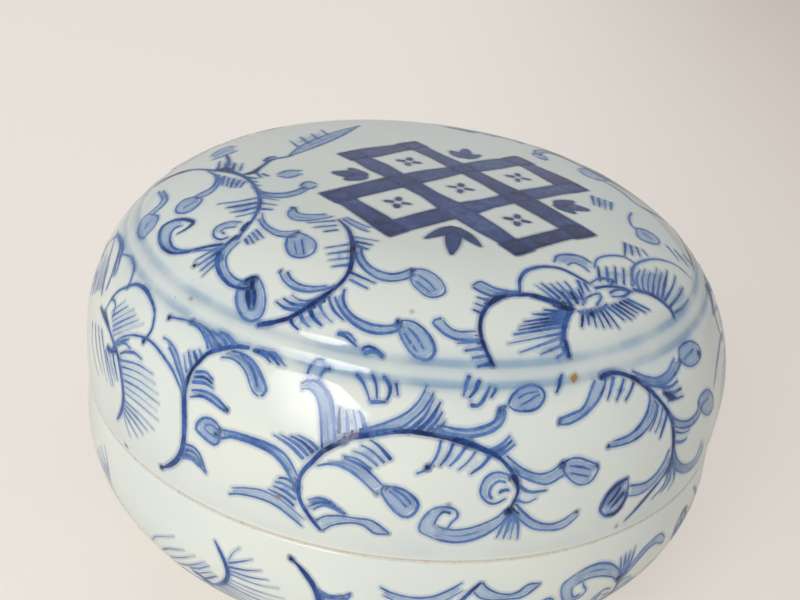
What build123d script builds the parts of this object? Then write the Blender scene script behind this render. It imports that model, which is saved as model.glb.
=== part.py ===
from build123d import *
from math import acos, atan2, cos, degrees, radians, sin, sqrt
import os

# Round porcelain seal paste box, in millimetres.
# A domed lid drops over an upright flange on a footed base, and the base's bowl holds the paste.
# The origin is the centre of the foot ring's underside, and +Z runs up the axis that everything is
# turned about.

os.makedirs("parts", exist_ok=True)

# Outside shape shared by lid and base
box_radius = 47.5              # widest radius of the lid, and of the base below it
mouth_inset = 0.4              # the wall draws in by this much where the two halves meet
mouth_edge_radius = 0.6        # rounding of the bare edges at the mouth

# Lid
lid_wall = 4.0                 # thickness of the lid's wall and dome
lid_widest_rise = 7.0          # from the lid's rim up to its widest ring
wall_arc_radius = 22.6         # side wall, seen in section
wall_arc_angle = 43.5          # the side wall turns this far inwards, in degrees, up to the moulding
shoulder_arc_radius = 26.2     # shoulder above the moulding
dome_radius = 330.0            # the nearly flat top

# Moulding round the lid's shoulder: a low ridge between two thrown grooves
groove_width = 1.8
groove_depth = 0.3
groove_offset = 1.3            # from the crest of the ridge to the middle of each groove

# Base
foot_radius = 31.0             # outside of the foot ring, where it leaves the belly
foot_height = 3.4
foot_wall = 3.4
foot_taper = 0.6               # the ring narrows by this on each side towards its underside
foot_edge_radius = 0.5
foot_recess = 3.0              # how far the underside is hollowed inside the foot ring
bowl_wall = 4.6                # thickness of the base's belly and underside
base_widest_drop = 5.5         # from the base's ledge down to its widest ring
belly_arc_radius = 16.0
belly_arc_angle = 55.0         # the belly turns this far, in degrees, before the flatter underside
underside_arc_radius = 24.0

# Upright flange that the lid drops over
flange_wall = 2.3
flange_height = 4.5
flange_edge_radius = 0.7
lid_clearance = 0.4            # from the flange to the inside of the lid's mouth

# Paste
paste_clearance = 0.2          # from the paste to the curved wall of the bowl
paste_edge_angle = 60.0        # the paste meets the bowl this far down its underside arc, in degrees
paste_crown = 7.5              # how far the mound rises above its edge
paste_edge_radius = 1.0

quarter_turn = 90.0            # degrees

# Worked out from the sizes above
mouth_radius = box_radius - mouth_inset
lid_mouth_inside = mouth_radius - lid_wall
flange_outside = lid_mouth_inside - lid_clearance
flange_inside = flange_outside - flange_wall


def on_arc(centre, radius, angle):
    """The point of an arc at an angle in degrees from the outward radius."""
    return centre + Vector(radius * cos(radians(angle)), radius * sin(radians(angle)))


def turned(section):
    """A solid turned about the vertical axis from a closed section drawn as radius and height."""
    return revolve(Plane.XZ * section, Axis.Z)


# The base's section: belly and underside are two arcs that run into each other and meet the foot ring
arc_step = underside_arc_radius - belly_arc_radius
underside_x = box_radius - belly_arc_radius - arc_step * cos(radians(belly_arc_angle))
foot_angle = degrees(acos((foot_radius - underside_x) / underside_arc_radius))
underside_z = foot_height + underside_arc_radius * sin(radians(foot_angle))
underside_centre = Vector(underside_x, underside_z)
belly_centre = on_arc(underside_centre, arc_step, -belly_arc_angle)
ledge_height = belly_centre.Y + base_widest_drop
flange_top = ledge_height + flange_height
floor_height = underside_centre.Y - underside_arc_radius + bowl_wall

# The lid's section: wall, shoulder and dome are three arcs that run into each other
lid_widest = ledge_height + lid_widest_rise
wall_centre = Vector(box_radius - wall_arc_radius, lid_widest)
shoulder_centre = on_arc(wall_centre, wall_arc_radius - shoulder_arc_radius, wall_arc_angle)
dome_reach = dome_radius - shoulder_arc_radius
dome_centre = Vector(0, shoulder_centre.Y - sqrt(dome_reach**2 - shoulder_centre.X**2))
dome_angle = degrees(atan2(shoulder_centre.Y - dome_centre.Y, shoulder_centre.X))
top_height = dome_centre.Y + dome_radius


def lid_skin(depth):
    """The lid's section from its rim to the axis, at a depth below its outside."""
    widest = Vector(box_radius - depth, lid_widest)
    rim = Vector(mouth_radius - depth, ledge_height)
    shoulder_sweep = dome_angle - wall_arc_angle
    dome_sweep = quarter_turn - dome_angle
    return [
        TangentArc(widest, rim, tangent=(0, -1)),
        CenterArc(wall_centre, wall_arc_radius - depth, 0, wall_arc_angle),
        CenterArc(shoulder_centre, shoulder_arc_radius - depth, wall_arc_angle, shoulder_sweep),
        CenterArc(dome_centre, dome_radius - depth, dome_angle, dome_sweep),
    ]


def moulding_groove(centre, arc_radius, side):
    """The round cutter of one groove, on an arc of the outside, on one side of the ridge."""
    cutter_radius = ((groove_width / 2) ** 2 + groove_depth**2) / (2 * groove_depth)
    turn = degrees(groove_offset / arc_radius)
    cutter_reach = arc_radius + cutter_radius - groove_depth
    cutter_centre = on_arc(centre, cutter_reach, wall_arc_angle + side * turn)
    return Pos(cutter_centre.X, cutter_centre.Y) * Circle(cutter_radius)


def make_lid():
    """The domed cover, open below, with a bare rim and a moulding round its shoulder."""
    rim_outside = Vector(mouth_radius, ledge_height)
    rim_inside = Vector(lid_mouth_inside, ledge_height)
    crown = Vector(0, top_height)
    under_crown = Vector(0, top_height - lid_wall)
    edges = lid_skin(0) + lid_skin(lid_wall)
    edges += [Line(rim_outside, rim_inside), Line(crown, under_crown)]
    section = make_face(edges)
    section = fillet(section.vertices().group_by(Axis.Y)[0], mouth_edge_radius)
    section -= moulding_groove(wall_centre, wall_arc_radius, -1)
    section -= moulding_groove(shoulder_centre, shoulder_arc_radius, 1)
    return turned(section)


def foot_ring():
    """The tapered ring that the box stands on, from the underside's axis round to the belly."""
    recess_edge = Vector(foot_radius - foot_wall, foot_recess)
    return Polyline(
        Vector(0, foot_recess),
        recess_edge,
        Vector(recess_edge.X + foot_taper, 0),
        Vector(foot_radius - foot_taper, 0),
        Vector(foot_radius, foot_height),
    )


def belly(depth, stop_angle):
    """The two arcs of the belly, at a depth below the outside, from an angle up to the widest ring."""
    return [
        CenterArc(
            underside_centre,
            underside_arc_radius - depth,
            -stop_angle,
            stop_angle - belly_arc_angle,
        ),
        CenterArc(belly_centre, belly_arc_radius - depth, -belly_arc_angle, belly_arc_angle),
    ]


def make_base():
    """The footed bowl, with a bare ledge for the lid's rim and a flange standing up inside it."""
    widest = Vector(box_radius, belly_centre.Y)
    ledge_edge = Vector(mouth_radius, ledge_height)
    bowl_widest = Vector(box_radius - bowl_wall, belly_centre.Y)
    neck = Vector(flange_inside, ledge_height)
    flange_and_ledge = Polyline(
        ledge_edge,
        Vector(flange_outside, ledge_height),
        Vector(flange_outside, flange_top),
        Vector(flange_inside, flange_top),
        neck,
    )
    edges = [foot_ring(), flange_and_ledge]
    edges += belly(0, foot_angle)
    edges += belly(bowl_wall, quarter_turn)
    edges += [
        TangentArc(widest, ledge_edge, tangent=(0, 1)),
        TangentArc(bowl_widest, neck, tangent=(0, 1)),
        Line(Vector(0, foot_recess), Vector(0, floor_height)),
        Line(Vector(0, floor_height), Vector(underside_centre.X, floor_height)),
    ]
    section = make_face(edges)
    section = fillet(section.vertices().group_by(Axis.Y)[0], foot_edge_radius)
    section = fillet(section.vertices().group_by(Axis.Y)[-1], flange_edge_radius)
    on_ledge = section.vertices().filter_by(lambda v: abs(v.Y - ledge_height) < mouth_edge_radius)
    section = fillet(on_ledge.sort_by(Axis.X)[-1], mouth_edge_radius)
    return turned(section)


def make_paste():
    """The mound of vermilion paste pressed into the bowl, highest in the middle."""
    side_radius = underside_arc_radius - bowl_wall - paste_clearance
    edge = on_arc(underside_centre, side_radius, -paste_edge_angle)
    crown = Vector(0, edge.Y + paste_crown)
    floor_edge = Vector(underside_centre.X, floor_height)
    outline = [
        CenterArc(underside_centre, side_radius, -quarter_turn, quarter_turn - paste_edge_angle),
        TangentArc(crown, edge, tangent=(1, 0)),
        Polyline(
            crown,
            Vector(0, floor_height),
            floor_edge,
            floor_edge + Vector(0, paste_clearance),
        ),
    ]
    section = make_face(outline)
    section = fillet(section.vertices().sort_by(Axis.X)[-1], paste_edge_radius)
    return turned(section)


nodes = {"lid": make_lid(), "base": make_base(), "seal_paste": make_paste()}
for name, solid in nodes.items():
    export_step(solid, f"parts/{name}.step")
    print(name, round(solid.volume), "cubic mm")
print("closed height", round(top_height, 2), "ledge", round(ledge_height, 2), "floor", round(floor_height, 2))
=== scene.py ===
# %% [markdown]
# # A porcelain seal paste box
# The real object is a thrown and fired porcelain box: a domed lid, a footed base, and the vermilion
# paste inside. Its construction comes from the CAD frame. This lesson gives it its looks: a clear
# bluish glaze, cobalt brushwork under it, bare biscuit at the mouth and foot, and oily paste.
# Every shape is made in the frame's own metres, so a piece goes exactly where the CAD says.

import math
import random

import bpy
import numpy as np
from mathutils import Matrix, Vector


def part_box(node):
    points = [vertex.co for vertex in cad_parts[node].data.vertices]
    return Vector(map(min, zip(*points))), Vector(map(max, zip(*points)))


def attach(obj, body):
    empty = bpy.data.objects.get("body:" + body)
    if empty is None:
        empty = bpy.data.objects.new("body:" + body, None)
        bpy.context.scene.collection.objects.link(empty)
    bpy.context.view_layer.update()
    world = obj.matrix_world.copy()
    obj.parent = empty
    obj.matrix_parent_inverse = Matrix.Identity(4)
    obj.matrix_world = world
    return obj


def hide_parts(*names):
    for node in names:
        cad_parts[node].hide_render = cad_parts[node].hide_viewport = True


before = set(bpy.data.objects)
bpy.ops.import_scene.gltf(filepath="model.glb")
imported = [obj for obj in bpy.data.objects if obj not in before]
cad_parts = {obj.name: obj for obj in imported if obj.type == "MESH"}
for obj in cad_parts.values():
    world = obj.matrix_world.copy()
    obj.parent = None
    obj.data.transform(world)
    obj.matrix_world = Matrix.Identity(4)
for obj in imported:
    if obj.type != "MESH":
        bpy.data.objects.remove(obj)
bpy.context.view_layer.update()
MM = 0.001
JOINT_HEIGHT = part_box("lid")[0].z
print("frame", list(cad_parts), "lid's rim at", round(JOINT_HEIGHT, 4))

# %% [markdown]
# ## The turned outlines
# A potter turns both halves against a profile. In section the lid is a few arcs that run into each
# other, and so is the base, so the outline is written as arcs with real radii. From each outline
# comes a skin: a table of radius and height along the wall. The same skin later tells the brush
# where the wall is.

# %% Real sizes and arcs
BOX_RADIUS = 47.5 * MM
MOUTH_INSET = 0.4 * MM
LID_WALL = 4.0 * MM
BOWL_WALL = 4.6 * MM
WALL_ARC, WALL_TURN = 22.6 * MM, 43.5
SHOULDER_ARC = 26.2 * MM
DOME_ARC = 330 * MM
LID_WIDEST = 7.0 * MM
BASE_WIDEST = 5.5 * MM
BELLY_ARC, BELLY_TURN = 16.0 * MM, 55.0
UNDERSIDE_ARC = 24.0 * MM
FOOT_RADIUS = 31.0 * MM
STEP = 0.5 * MM


def arc(centre, radius, start, stop):
    """Points along an arc in the section, from one angle to another in degrees."""
    count = max(3, int(abs(math.radians(stop - start)) * radius / STEP) + 1)
    turn = np.radians(np.linspace(start, stop, count))
    return np.stack([centre[0] + radius * np.cos(turn), centre[1] + radius * np.sin(turn)], 1)


def straight(start, stop):
    """Points along a straight stretch of the section."""
    count = max(2, int(math.dist(start, stop) / STEP) + 1)
    return np.linspace(start, stop, count)


def joined(*stretches):
    """One outline from stretches that meet end to end."""
    first, *rest = stretches
    return np.vstack([first] + [stretch[1:] for stretch in rest])


# %% The lid's outline
def lid_outline(depth):
    """The lid from its rim up to the axis, at a depth below the outside, as radius and height."""
    widest = JOINT_HEIGHT + LID_WIDEST
    lower = (LID_WIDEST**2 + MOUTH_INSET**2) / (2 * MOUTH_INSET)
    drop = -math.degrees(math.asin(LID_WIDEST / lower))
    wall = (BOX_RADIUS - WALL_ARC, widest)
    reach, turn = WALL_ARC - SHOULDER_ARC, math.radians(WALL_TURN)
    shoulder = (wall[0] + reach * math.cos(turn), wall[1] + reach * math.sin(turn))
    dome_height = shoulder[1] - math.sqrt((DOME_ARC - SHOULDER_ARC) ** 2 - shoulder[0] ** 2)
    dome_turn = math.degrees(math.atan2(shoulder[1] - dome_height, shoulder[0]))
    return joined(
        arc((BOX_RADIUS - lower, widest), lower - depth, drop, 0),
        arc(wall, WALL_ARC - depth, 0, WALL_TURN),
        arc(shoulder, SHOULDER_ARC - depth, WALL_TURN, dome_turn),
        arc((0, dome_height), DOME_ARC - depth, dome_turn, 90),
    )


# %% The base's outline
def base_outline(depth, foot):
    """The base from its ledge down its belly to a radius or a level floor, at a depth below the outside."""
    widest = JOINT_HEIGHT - BASE_WIDEST
    upper = (BASE_WIDEST**2 + MOUTH_INSET**2) / (2 * MOUTH_INSET)
    rise = math.degrees(math.asin(BASE_WIDEST / upper))
    belly = (BOX_RADIUS - BELLY_ARC, widest)
    reach, turn = BELLY_ARC - UNDERSIDE_ARC, math.radians(-BELLY_TURN)
    under = (belly[0] + reach * math.cos(turn), belly[1] + reach * math.sin(turn))
    level = max(0, foot - under[0])
    stop = -math.degrees(math.acos(level / (UNDERSIDE_ARC - depth)))
    return joined(
        arc((BOX_RADIUS - upper, widest), upper - depth, rise, 0),
        arc(belly, BELLY_ARC - depth, 0, -BELLY_TURN),
        arc(under, UNDERSIDE_ARC - depth, -BELLY_TURN, stop),
    )


print("lid's top at", round(lid_outline(0)[-1, 1] / MM, 1), "mm")

# %% [markdown]
# ## A skin to paint on
# Brushwork needs two questions answered: where on the wall is a place given by its angle and its
# distance from the mouth, and which place is nearest to a point in space. On a turned wall both are
# a look-up along the outline, because the direction from the middle of the mouth names each place
# on it once.

# %% Skins of the two halves
class Skin:
    """The outside of one half as a surface of revolution, measured along the wall from the mouth."""

    def __init__(self, outline):
        self.outline = outline
        steps = np.linalg.norm(np.diff(outline, axis=0), axis=1)
        self.along = np.concatenate([[0], np.cumsum(steps)])
        self.length = self.along[-1]
        slope = np.gradient(outline, self.along, axis=0)
        self.outward = np.stack([slope[:, 1], -slope[:, 0]], 1) / np.linalg.norm(slope, axis=1)[:, None]
        if self.outward[len(outline) // 2, 0] < 0:
            self.outward = -self.outward
        self.bearing = np.arctan2(outline[:, 1] - JOINT_HEIGHT, outline[:, 0])
        self.order = np.argsort(self.bearing)

    def read(self, table, bearing):
        """A value of the outline where the direction from the mouth's middle has this bearing."""
        return np.interp(bearing, self.bearing[self.order], table[self.order])

    def find(self, points):
        """Angle about the axis and distance along the wall of the places under some points."""
        flat = np.hypot(points[:, 0], points[:, 1])
        bearing = np.arctan2(points[:, 2] - JOINT_HEIGHT, flat)
        return np.arctan2(points[:, 1], points[:, 0]), self.read(self.along, bearing)

    def place(self, angle, along):
        """Points and outward directions at angles and distances along the wall."""
        radius = np.interp(along, self.along, self.outline[:, 0])
        height = np.interp(along, self.along, self.outline[:, 1])
        lean = np.interp(along, self.along, self.outward[:, 0])
        lift = np.interp(along, self.along, self.outward[:, 1])
        cos, sin = np.cos(angle), np.sin(angle)
        points = np.stack([radius * cos, radius * sin, height], -1)
        return points, np.stack([lean * cos, lean * sin, lift], -1)

    def snap(self, points):
        """The places on the skin under some points, with their outward directions."""
        return self.place(*self.find(points))


lid_skin = Skin(lid_outline(0))
base_skin = Skin(base_outline(0, FOOT_RADIUS))
print("lid's skin", round(lid_skin.length / MM, 1), "mm; base's skin", round(base_skin.length / MM, 1), "mm")

# %% [markdown]
# ## The camera
# The camera stands where the real one stood. Its distance, tilt and lens were found by laying
# the lid's rim, moulding and outline over the photograph, and are written here as real sizes.
# Because the same camera can be run backwards, a place read off the photograph, in pixels of its
# 800 by 600 frame, also says where on the lid a brush stroke goes.

# %% Camera
PHOTO_WIDTH, PHOTO_HEIGHT = 800, 600
FOCAL_PIXELS = 1100
CAMERA_ELEVATION = 29.67
CAMERA_DISTANCE = 172.2 * MM
CAMERA_ROLL = -7.03
CAMERA_PAN = 0.17
CAMERA_TILT = 3.21
SENSOR = 36.0
CLIP_START = 5 * MM

aim = Vector((0, math.cos(math.radians(CAMERA_ELEVATION)), -math.sin(math.radians(CAMERA_ELEVATION))))
camera_place = Vector((0, 0, JOINT_HEIGHT)) - CAMERA_DISTANCE * aim
side = Vector((1, 0, 0))
top = side.cross(aim)
roll = Matrix.Rotation(math.radians(CAMERA_ROLL), 3, aim)
side, top = roll @ side, roll @ top
pan = Matrix.Rotation(math.radians(CAMERA_PAN), 3, top)
aim, side = pan @ aim, pan @ side
tilt = Matrix.Rotation(math.radians(CAMERA_TILT), 3, side)
aim, top = tilt @ aim, tilt @ top

camera_data = bpy.data.cameras.new("photo_camera")
camera_data.sensor_width = SENSOR
camera_data.lens = SENSOR * FOCAL_PIXELS / PHOTO_WIDTH
camera_data.clip_start = CLIP_START
camera = bpy.data.objects.new("photo_camera", camera_data)
bpy.context.scene.collection.objects.link(camera)
camera.matrix_world = Matrix.Translation(camera_place) @ Matrix((side, top, -aim)).transposed().to_4x4()
bpy.context.scene.camera = camera
print("camera at", [round(value / MM) for value in camera_place], "mm, lens", camera_data.lens)

# %% Read a place on the lid off the photograph
SIGHT_START, SIGHT_END, SIGHT_STEPS = 90 * MM, 260 * MM, 1400


def seen(pixels):
    """The places on the lid's skin under pixels of the photograph."""
    pixels = np.array(pixels, float)
    across = (pixels[:, :1] - PHOTO_WIDTH / 2) / FOCAL_PIXELS * np.array(side)
    up = (PHOTO_HEIGHT / 2 - pixels[:, 1:]) / FOCAL_PIXELS * np.array(top)
    rays = np.array(aim) + across + up
    reach = np.linspace(SIGHT_START, SIGHT_END, SIGHT_STEPS)[None, :, None]
    line = np.array(camera_place) + reach * rays[:, None, :]
    flat = np.hypot(line[..., 0], line[..., 1])
    rise = line[..., 2] - JOINT_HEIGHT
    bearing = np.arctan2(rise, flat)
    skin_reach = np.hypot(lid_skin.outline[:, 0], lid_skin.outline[:, 1] - JOINT_HEIGHT)
    above = np.hypot(flat, rise) - lid_skin.read(skin_reach, np.clip(bearing, 0, None))
    first = np.where((above < 0).any(1), (above < 0).argmax(1), above.argmin(1))
    hits = line[np.arange(len(pixels)), first]
    return lid_skin.snap(hits)[0]


for name, pixel in {"left stem": (120, 380), "middle": (400, 450), "right": (700, 400)}.items():
    where, along = lid_skin.find(seen([pixel]))
    print(name, "at", round(math.degrees(where[0])), "degrees,", round(along[0] / MM, 1), "mm up")

# %% [markdown]
# ## Sums that build node trees
# Materials and Geometry Nodes are both trees of sockets. Written out node by node they are hard to
# read, so one small class wraps a socket and turns +, -, * and / into Math nodes, and one method
# adds every other kind of node.

# %% A wire that stands in a sum
class Wire:
    """An output socket that can stand in a sum."""

    def __init__(self, bench, socket):
        self.bench, self.socket = bench, socket

    def maths(self, operation, *values):
        """A Math node on some values."""
        return self.bench.node("ShaderNodeMath", {"operation": operation}, dict(enumerate(values)))

    def __add__(self, other):
        return self.maths("ADD", self, other)

    def __sub__(self, other):
        return self.maths("SUBTRACT", self, other)

    def __rsub__(self, other):
        return self.maths("SUBTRACT", other, self)

    def __mul__(self, other):
        return self.maths("MULTIPLY", self, other)

    def __truediv__(self, other):
        return self.maths("DIVIDE", self, other)

    __radd__, __rmul__ = __add__, __mul__

    def size(self):
        """How big this is, whatever its sign."""
        return self.maths("ABSOLUTE", self)

    def positive(self):
        """This, or 0 where it is less than 0."""
        return self.maths("MAXIMUM", self, 0.0)

    def root(self):
        """The square root of this."""
        return self.maths("SQRT", self)

    def between(self, low, high):
        """0 where this is at low, 1 where it is at high, and a smooth step between them."""
        settings = {"interpolation_type": "SMOOTHSTEP", "clamp": True}
        return self.bench.node("ShaderNodeMapRange", settings, {0: self, 1: low, 2: high, 3: 0.0, 4: 1.0})


# %% A bench that adds nodes
class Bench:
    """A node tree, with one way of adding a node to it."""

    def __init__(self, tree):
        self.tree = tree

    def node(self, kind, settings=None, sockets=None, out=0):
        """Adds a node, sets it, then fills or links its sockets, and gives one of its outputs."""
        node = self.tree.nodes.new(kind)
        for name, value in (settings or {}).items():
            if name == "stops":
                self.set_stops(node.color_ramp, value)
            else:
                setattr(node, name, value)
        for name, value in (sockets or {}).items():
            if isinstance(value, Wire):
                self.tree.links.new(value.socket, node.inputs[name])
            else:
                node.inputs[name].default_value = value
        return Wire(self, node.outputs[out]) if node.outputs else node

    def set_stops(self, ramp, stops):
        """Gives a colour ramp its stops, each a place and a colour."""
        while len(ramp.elements) < len(stops):
            ramp.elements.new(0.5)
        for element, (place, colour) in zip(ramp.elements, stops):
            element.position = place
            element.color = (*colour, 1)

    def mix(self, share, first, second, mode="MIX"):
        """A blend of two colours."""
        settings = {"data_type": "RGBA", "blend_type": mode}
        return self.node("ShaderNodeMix", settings, {0: share, 6: first, 7: second}, out=2)

    def noise(self, where, scale, detail=3.0):
        """Cloudy noise, mostly between 0.2 and 0.8."""
        return self.node("ShaderNodeTexNoise", {}, {"Vector": where, "Scale": scale, "Detail": detail})

    def patches(self, where, scale, low, high, detail=3.0):
        """Soft patches: 0 where the noise is under low, and 1 where it is over high."""
        return self.noise(where, scale, detail).between(low, high)

    def attribute(self, name):
        """A number that the mesh carries, as a material reads it."""
        return self.node("ShaderNodeAttribute", {"attribute_name": name}, out="Fac")

    def carried(self, name, kind="FLOAT"):
        """A value that the mesh carries, as Geometry Nodes read it."""
        return self.node("GeometryNodeInputNamedAttribute", {"data_type": kind}, {"Name": name})

    def carry(self, geometry, name, value):
        """The geometry with a number stored on each of its points."""
        settings = {"data_type": "FLOAT", "domain": "POINT"}
        sockets = {"Geometry": geometry, "Name": name, "Value": value}
        return self.node("GeometryNodeStoreNamedAttribute", settings, sockets)

    def part(self, vector, axis):
        """One of a vector's three numbers."""
        return self.node("ShaderNodeSeparateXYZ", {}, {"Vector": vector}, out=axis)

    def scaled(self, vector, amount):
        """A vector made longer or shorter."""
        return self.node("ShaderNodeVectorMath", {"operation": "SCALE"}, {0: vector, "Scale": amount})


# %% Starting and ending a material
def new_material(name):
    """An empty material and the bench to build it on."""
    material = bpy.data.materials.new(name)
    material.use_nodes = True
    material.node_tree.nodes.clear()
    return material, Bench(material.node_tree)


def finish_material(bench, sockets):
    """A Principled surface with these sockets, wired to the material's output."""
    surface = bench.node("ShaderNodeBsdfPrincipled", {}, sockets)
    bench.node("ShaderNodeOutputMaterial", {}, {"Surface": surface})


# %% [markdown]
# ## Glaze
# Porcelain glaze is a clear, slightly blue glass about a third of a millimetre thick. It isn't
# perfectly level: it carries a faint orange-peel ripple, pools a little bluer where it lay thick,
# and holds pinholes and iron specks. The clay shows where the glaze was wiped off for firing, at
# the mouth and the foot, with a thin warm line where glaze and clay meet. One function makes the
# ripple, because the brushwork lies under the same glaze and must reflect the same way. Each
# pattern's numbers stand together: its scale, then where its patches start and where they are full,
# then its detail. A share says how much of the pattern shows.

# %% Glazed porcelain
GLAZE_WHITE = (0.715, 0.755, 0.695, 1)
GLAZE_BLUER = (0.610, 0.690, 0.690, 1)
GLAZE_WARMER = (0.715, 0.725, 0.630, 1)
GROOVE_BLUE = (0.250, 0.375, 0.500, 1)
BISCUIT = (0.700, 0.680, 0.610, 1)
FLASHING = (0.400, 0.300, 0.200, 1)
IRON = (0.110, 0.055, 0.030, 1)
PER_MM = 1000.0
GLAZE_ROUGHNESS, BISCUIT_ROUGHNESS = 0.06, 0.8
GLAZE_IOR = 1.5
PEEL, PEEL_SHARE = (0.42 * PER_MM, 2.0), 0.35
SWELL, SWELL_SHARE = (0.09 * PER_MM, 1.0), 2.2
RIPPLE_DEPTH, RIPPLE_STRENGTH = 0.035 * MM, 0.5
BLUE_PATCHES, BLUE_SHARE = (0.05 * PER_MM, 0.42, 0.72), 0.45
WARM_PATCHES, WARM_SHARE = (0.11 * PER_MM, 0.50, 0.80), 0.35
WASH_STREAKS, STREAK_SHARE = (0.12 * PER_MM, 0.30, 0.65, 4.0), 0.65
SPECK_CELLS, SPECK_CHOSEN = 0.28 * PER_MM, (0.86, 0.90)
SPECK_EDGE, SPECK_SHARE = (0.055, 0.030), 0.8
BARE_SCALE, BARE_RAGGED, BARE_EDGE = 0.9 * PER_MM, 0.5, (0.46, 0.54)
FLASH_WIDTH, FLASH_SHARE = 0.16, 0.25
CLAY_GRAIN, GRAIN_SHARE = (2.5 * PER_MM, 0.45, 0.75, 5.0), 0.4


def glaze_ripple(bench, where):
    """The small unevenness of the glaze, as a normal."""
    height = bench.noise(where, *PEEL) * PEEL_SHARE + bench.noise(where, *SWELL) * SWELL_SHARE
    sockets = {"Strength": RIPPLE_STRENGTH, "Distance": RIPPLE_DEPTH, "Height": height}
    return bench.node("ShaderNodeBump", {}, sockets)


def porcelain():
    """Glazed white porcelain, bare where the piece's own attribute says so."""
    material, bench = new_material("glazed_porcelain")
    where = bench.node("ShaderNodeTexCoord", out="Object")
    glaze = bench.mix(bench.patches(where, *BLUE_PATCHES) * BLUE_SHARE, GLAZE_WHITE, GLAZE_BLUER)
    glaze = bench.mix(bench.patches(where, *WARM_PATCHES) * WARM_SHARE, glaze, GLAZE_WARMER)
    streaks = bench.patches(where, *WASH_STREAKS) * STREAK_SHARE + (1 - STREAK_SHARE)
    # The wash is pooled glaze in the grooves, and painted shade, bluer and darker, by the mouth.
    glaze = bench.mix(bench.attribute("wash") * streaks, glaze, GROOVE_BLUE)

    cells = {"Vector": where, "Scale": SPECK_CELLS}
    distance = bench.node("ShaderNodeTexVoronoi", {}, cells)
    lot = bench.node("ShaderNodeTexVoronoi", {}, cells, out="Color")
    chosen = bench.node("ShaderNodeSeparateColor", {}, {"Color": lot}).between(*SPECK_CHOSEN)
    speck = distance.between(*SPECK_EDGE) * chosen
    glaze = bench.mix(speck * SPECK_SHARE, glaze, IRON)

    ragged = bench.attribute("bare") + (bench.noise(where, BARE_SCALE) - 0.5) * BARE_RAGGED
    bare = ragged.between(*BARE_EDGE)
    flash = (1 - (ragged - 0.5).size() / FLASH_WIDTH).between(0.0, 1.0)
    clay = bench.mix(bench.patches(where, *CLAY_GRAIN) * GRAIN_SHARE, BISCUIT, FLASHING)
    colour = bench.mix(bare, glaze, clay)
    sockets = {
        "Base Color": bench.mix(flash * FLASH_SHARE, colour, FLASHING),
        "Roughness": bare * (BISCUIT_ROUGHNESS - GLAZE_ROUGHNESS) + GLAZE_ROUGHNESS,
        "IOR": GLAZE_IOR,
        "Normal": glaze_ripple(bench, where),
    }
    finish_material(bench, sockets)
    return material


PORCELAIN = porcelain()
print("made", PORCELAIN.name)

# %% [markdown]
# ## Throwing the two halves
# A lathe is a rule, so Geometry Nodes do the turning: a grid with one column for each step round
# the axis takes each row's place from the section, and the seam and poles are merged. The halves
# are hand-made, so the tree also presses the wall in, unevenly, by a tenth of a millimetre or so.
# Attributes drawn on the section, such as where the clay is bare, are carried round with it.

# %% Starting and ending a tree
def geometry_tree(name, inputs):
    """A Geometry Nodes tree with named inputs, its bench and its input wires."""
    tree = bpy.data.node_groups.new(name, "GeometryNodeTree")
    tree.interface.new_socket("Geometry", in_out="OUTPUT", socket_type="NodeSocketGeometry")
    for label, kind in {"Geometry": "Geometry", **inputs}.items():
        tree.interface.new_socket(label, in_out="INPUT", socket_type="NodeSocket" + kind)
    bench = Bench(tree)
    source = tree.nodes.new("NodeGroupInput")
    wires = {label: Wire(bench, source.outputs[label]) for label in ("Geometry", *inputs)}
    return tree, bench, wires


def end_tree(bench, geometry, material):
    """Smooth shading, real geometry and its material, wired to the tree's output."""
    smooth = bench.node("GeometryNodeSetShadeSmooth", {}, {"Geometry": geometry})
    real = bench.node("GeometryNodeRealizeInstances", {}, {"Geometry": smooth})
    dressed = bench.node("GeometryNodeSetMaterial", {}, {"Geometry": real, "Material": material})
    bench.node("NodeGroupOutput", {}, {0: dressed})


# %% The lathe, which turns a section
SEGMENTS = 300
SAME_PLACE = 0.002 * MM
WOBBLE = 0.30 * MM
WOBBLE_WAVE, WOBBLE_LEVEL = (0.022 * PER_MM, 1.0), 0.85
TRUE_BY_JOINT, TRUE_BY_FOOT = (0.5 * MM, 12 * MM), (0, 4 * MM)


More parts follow.
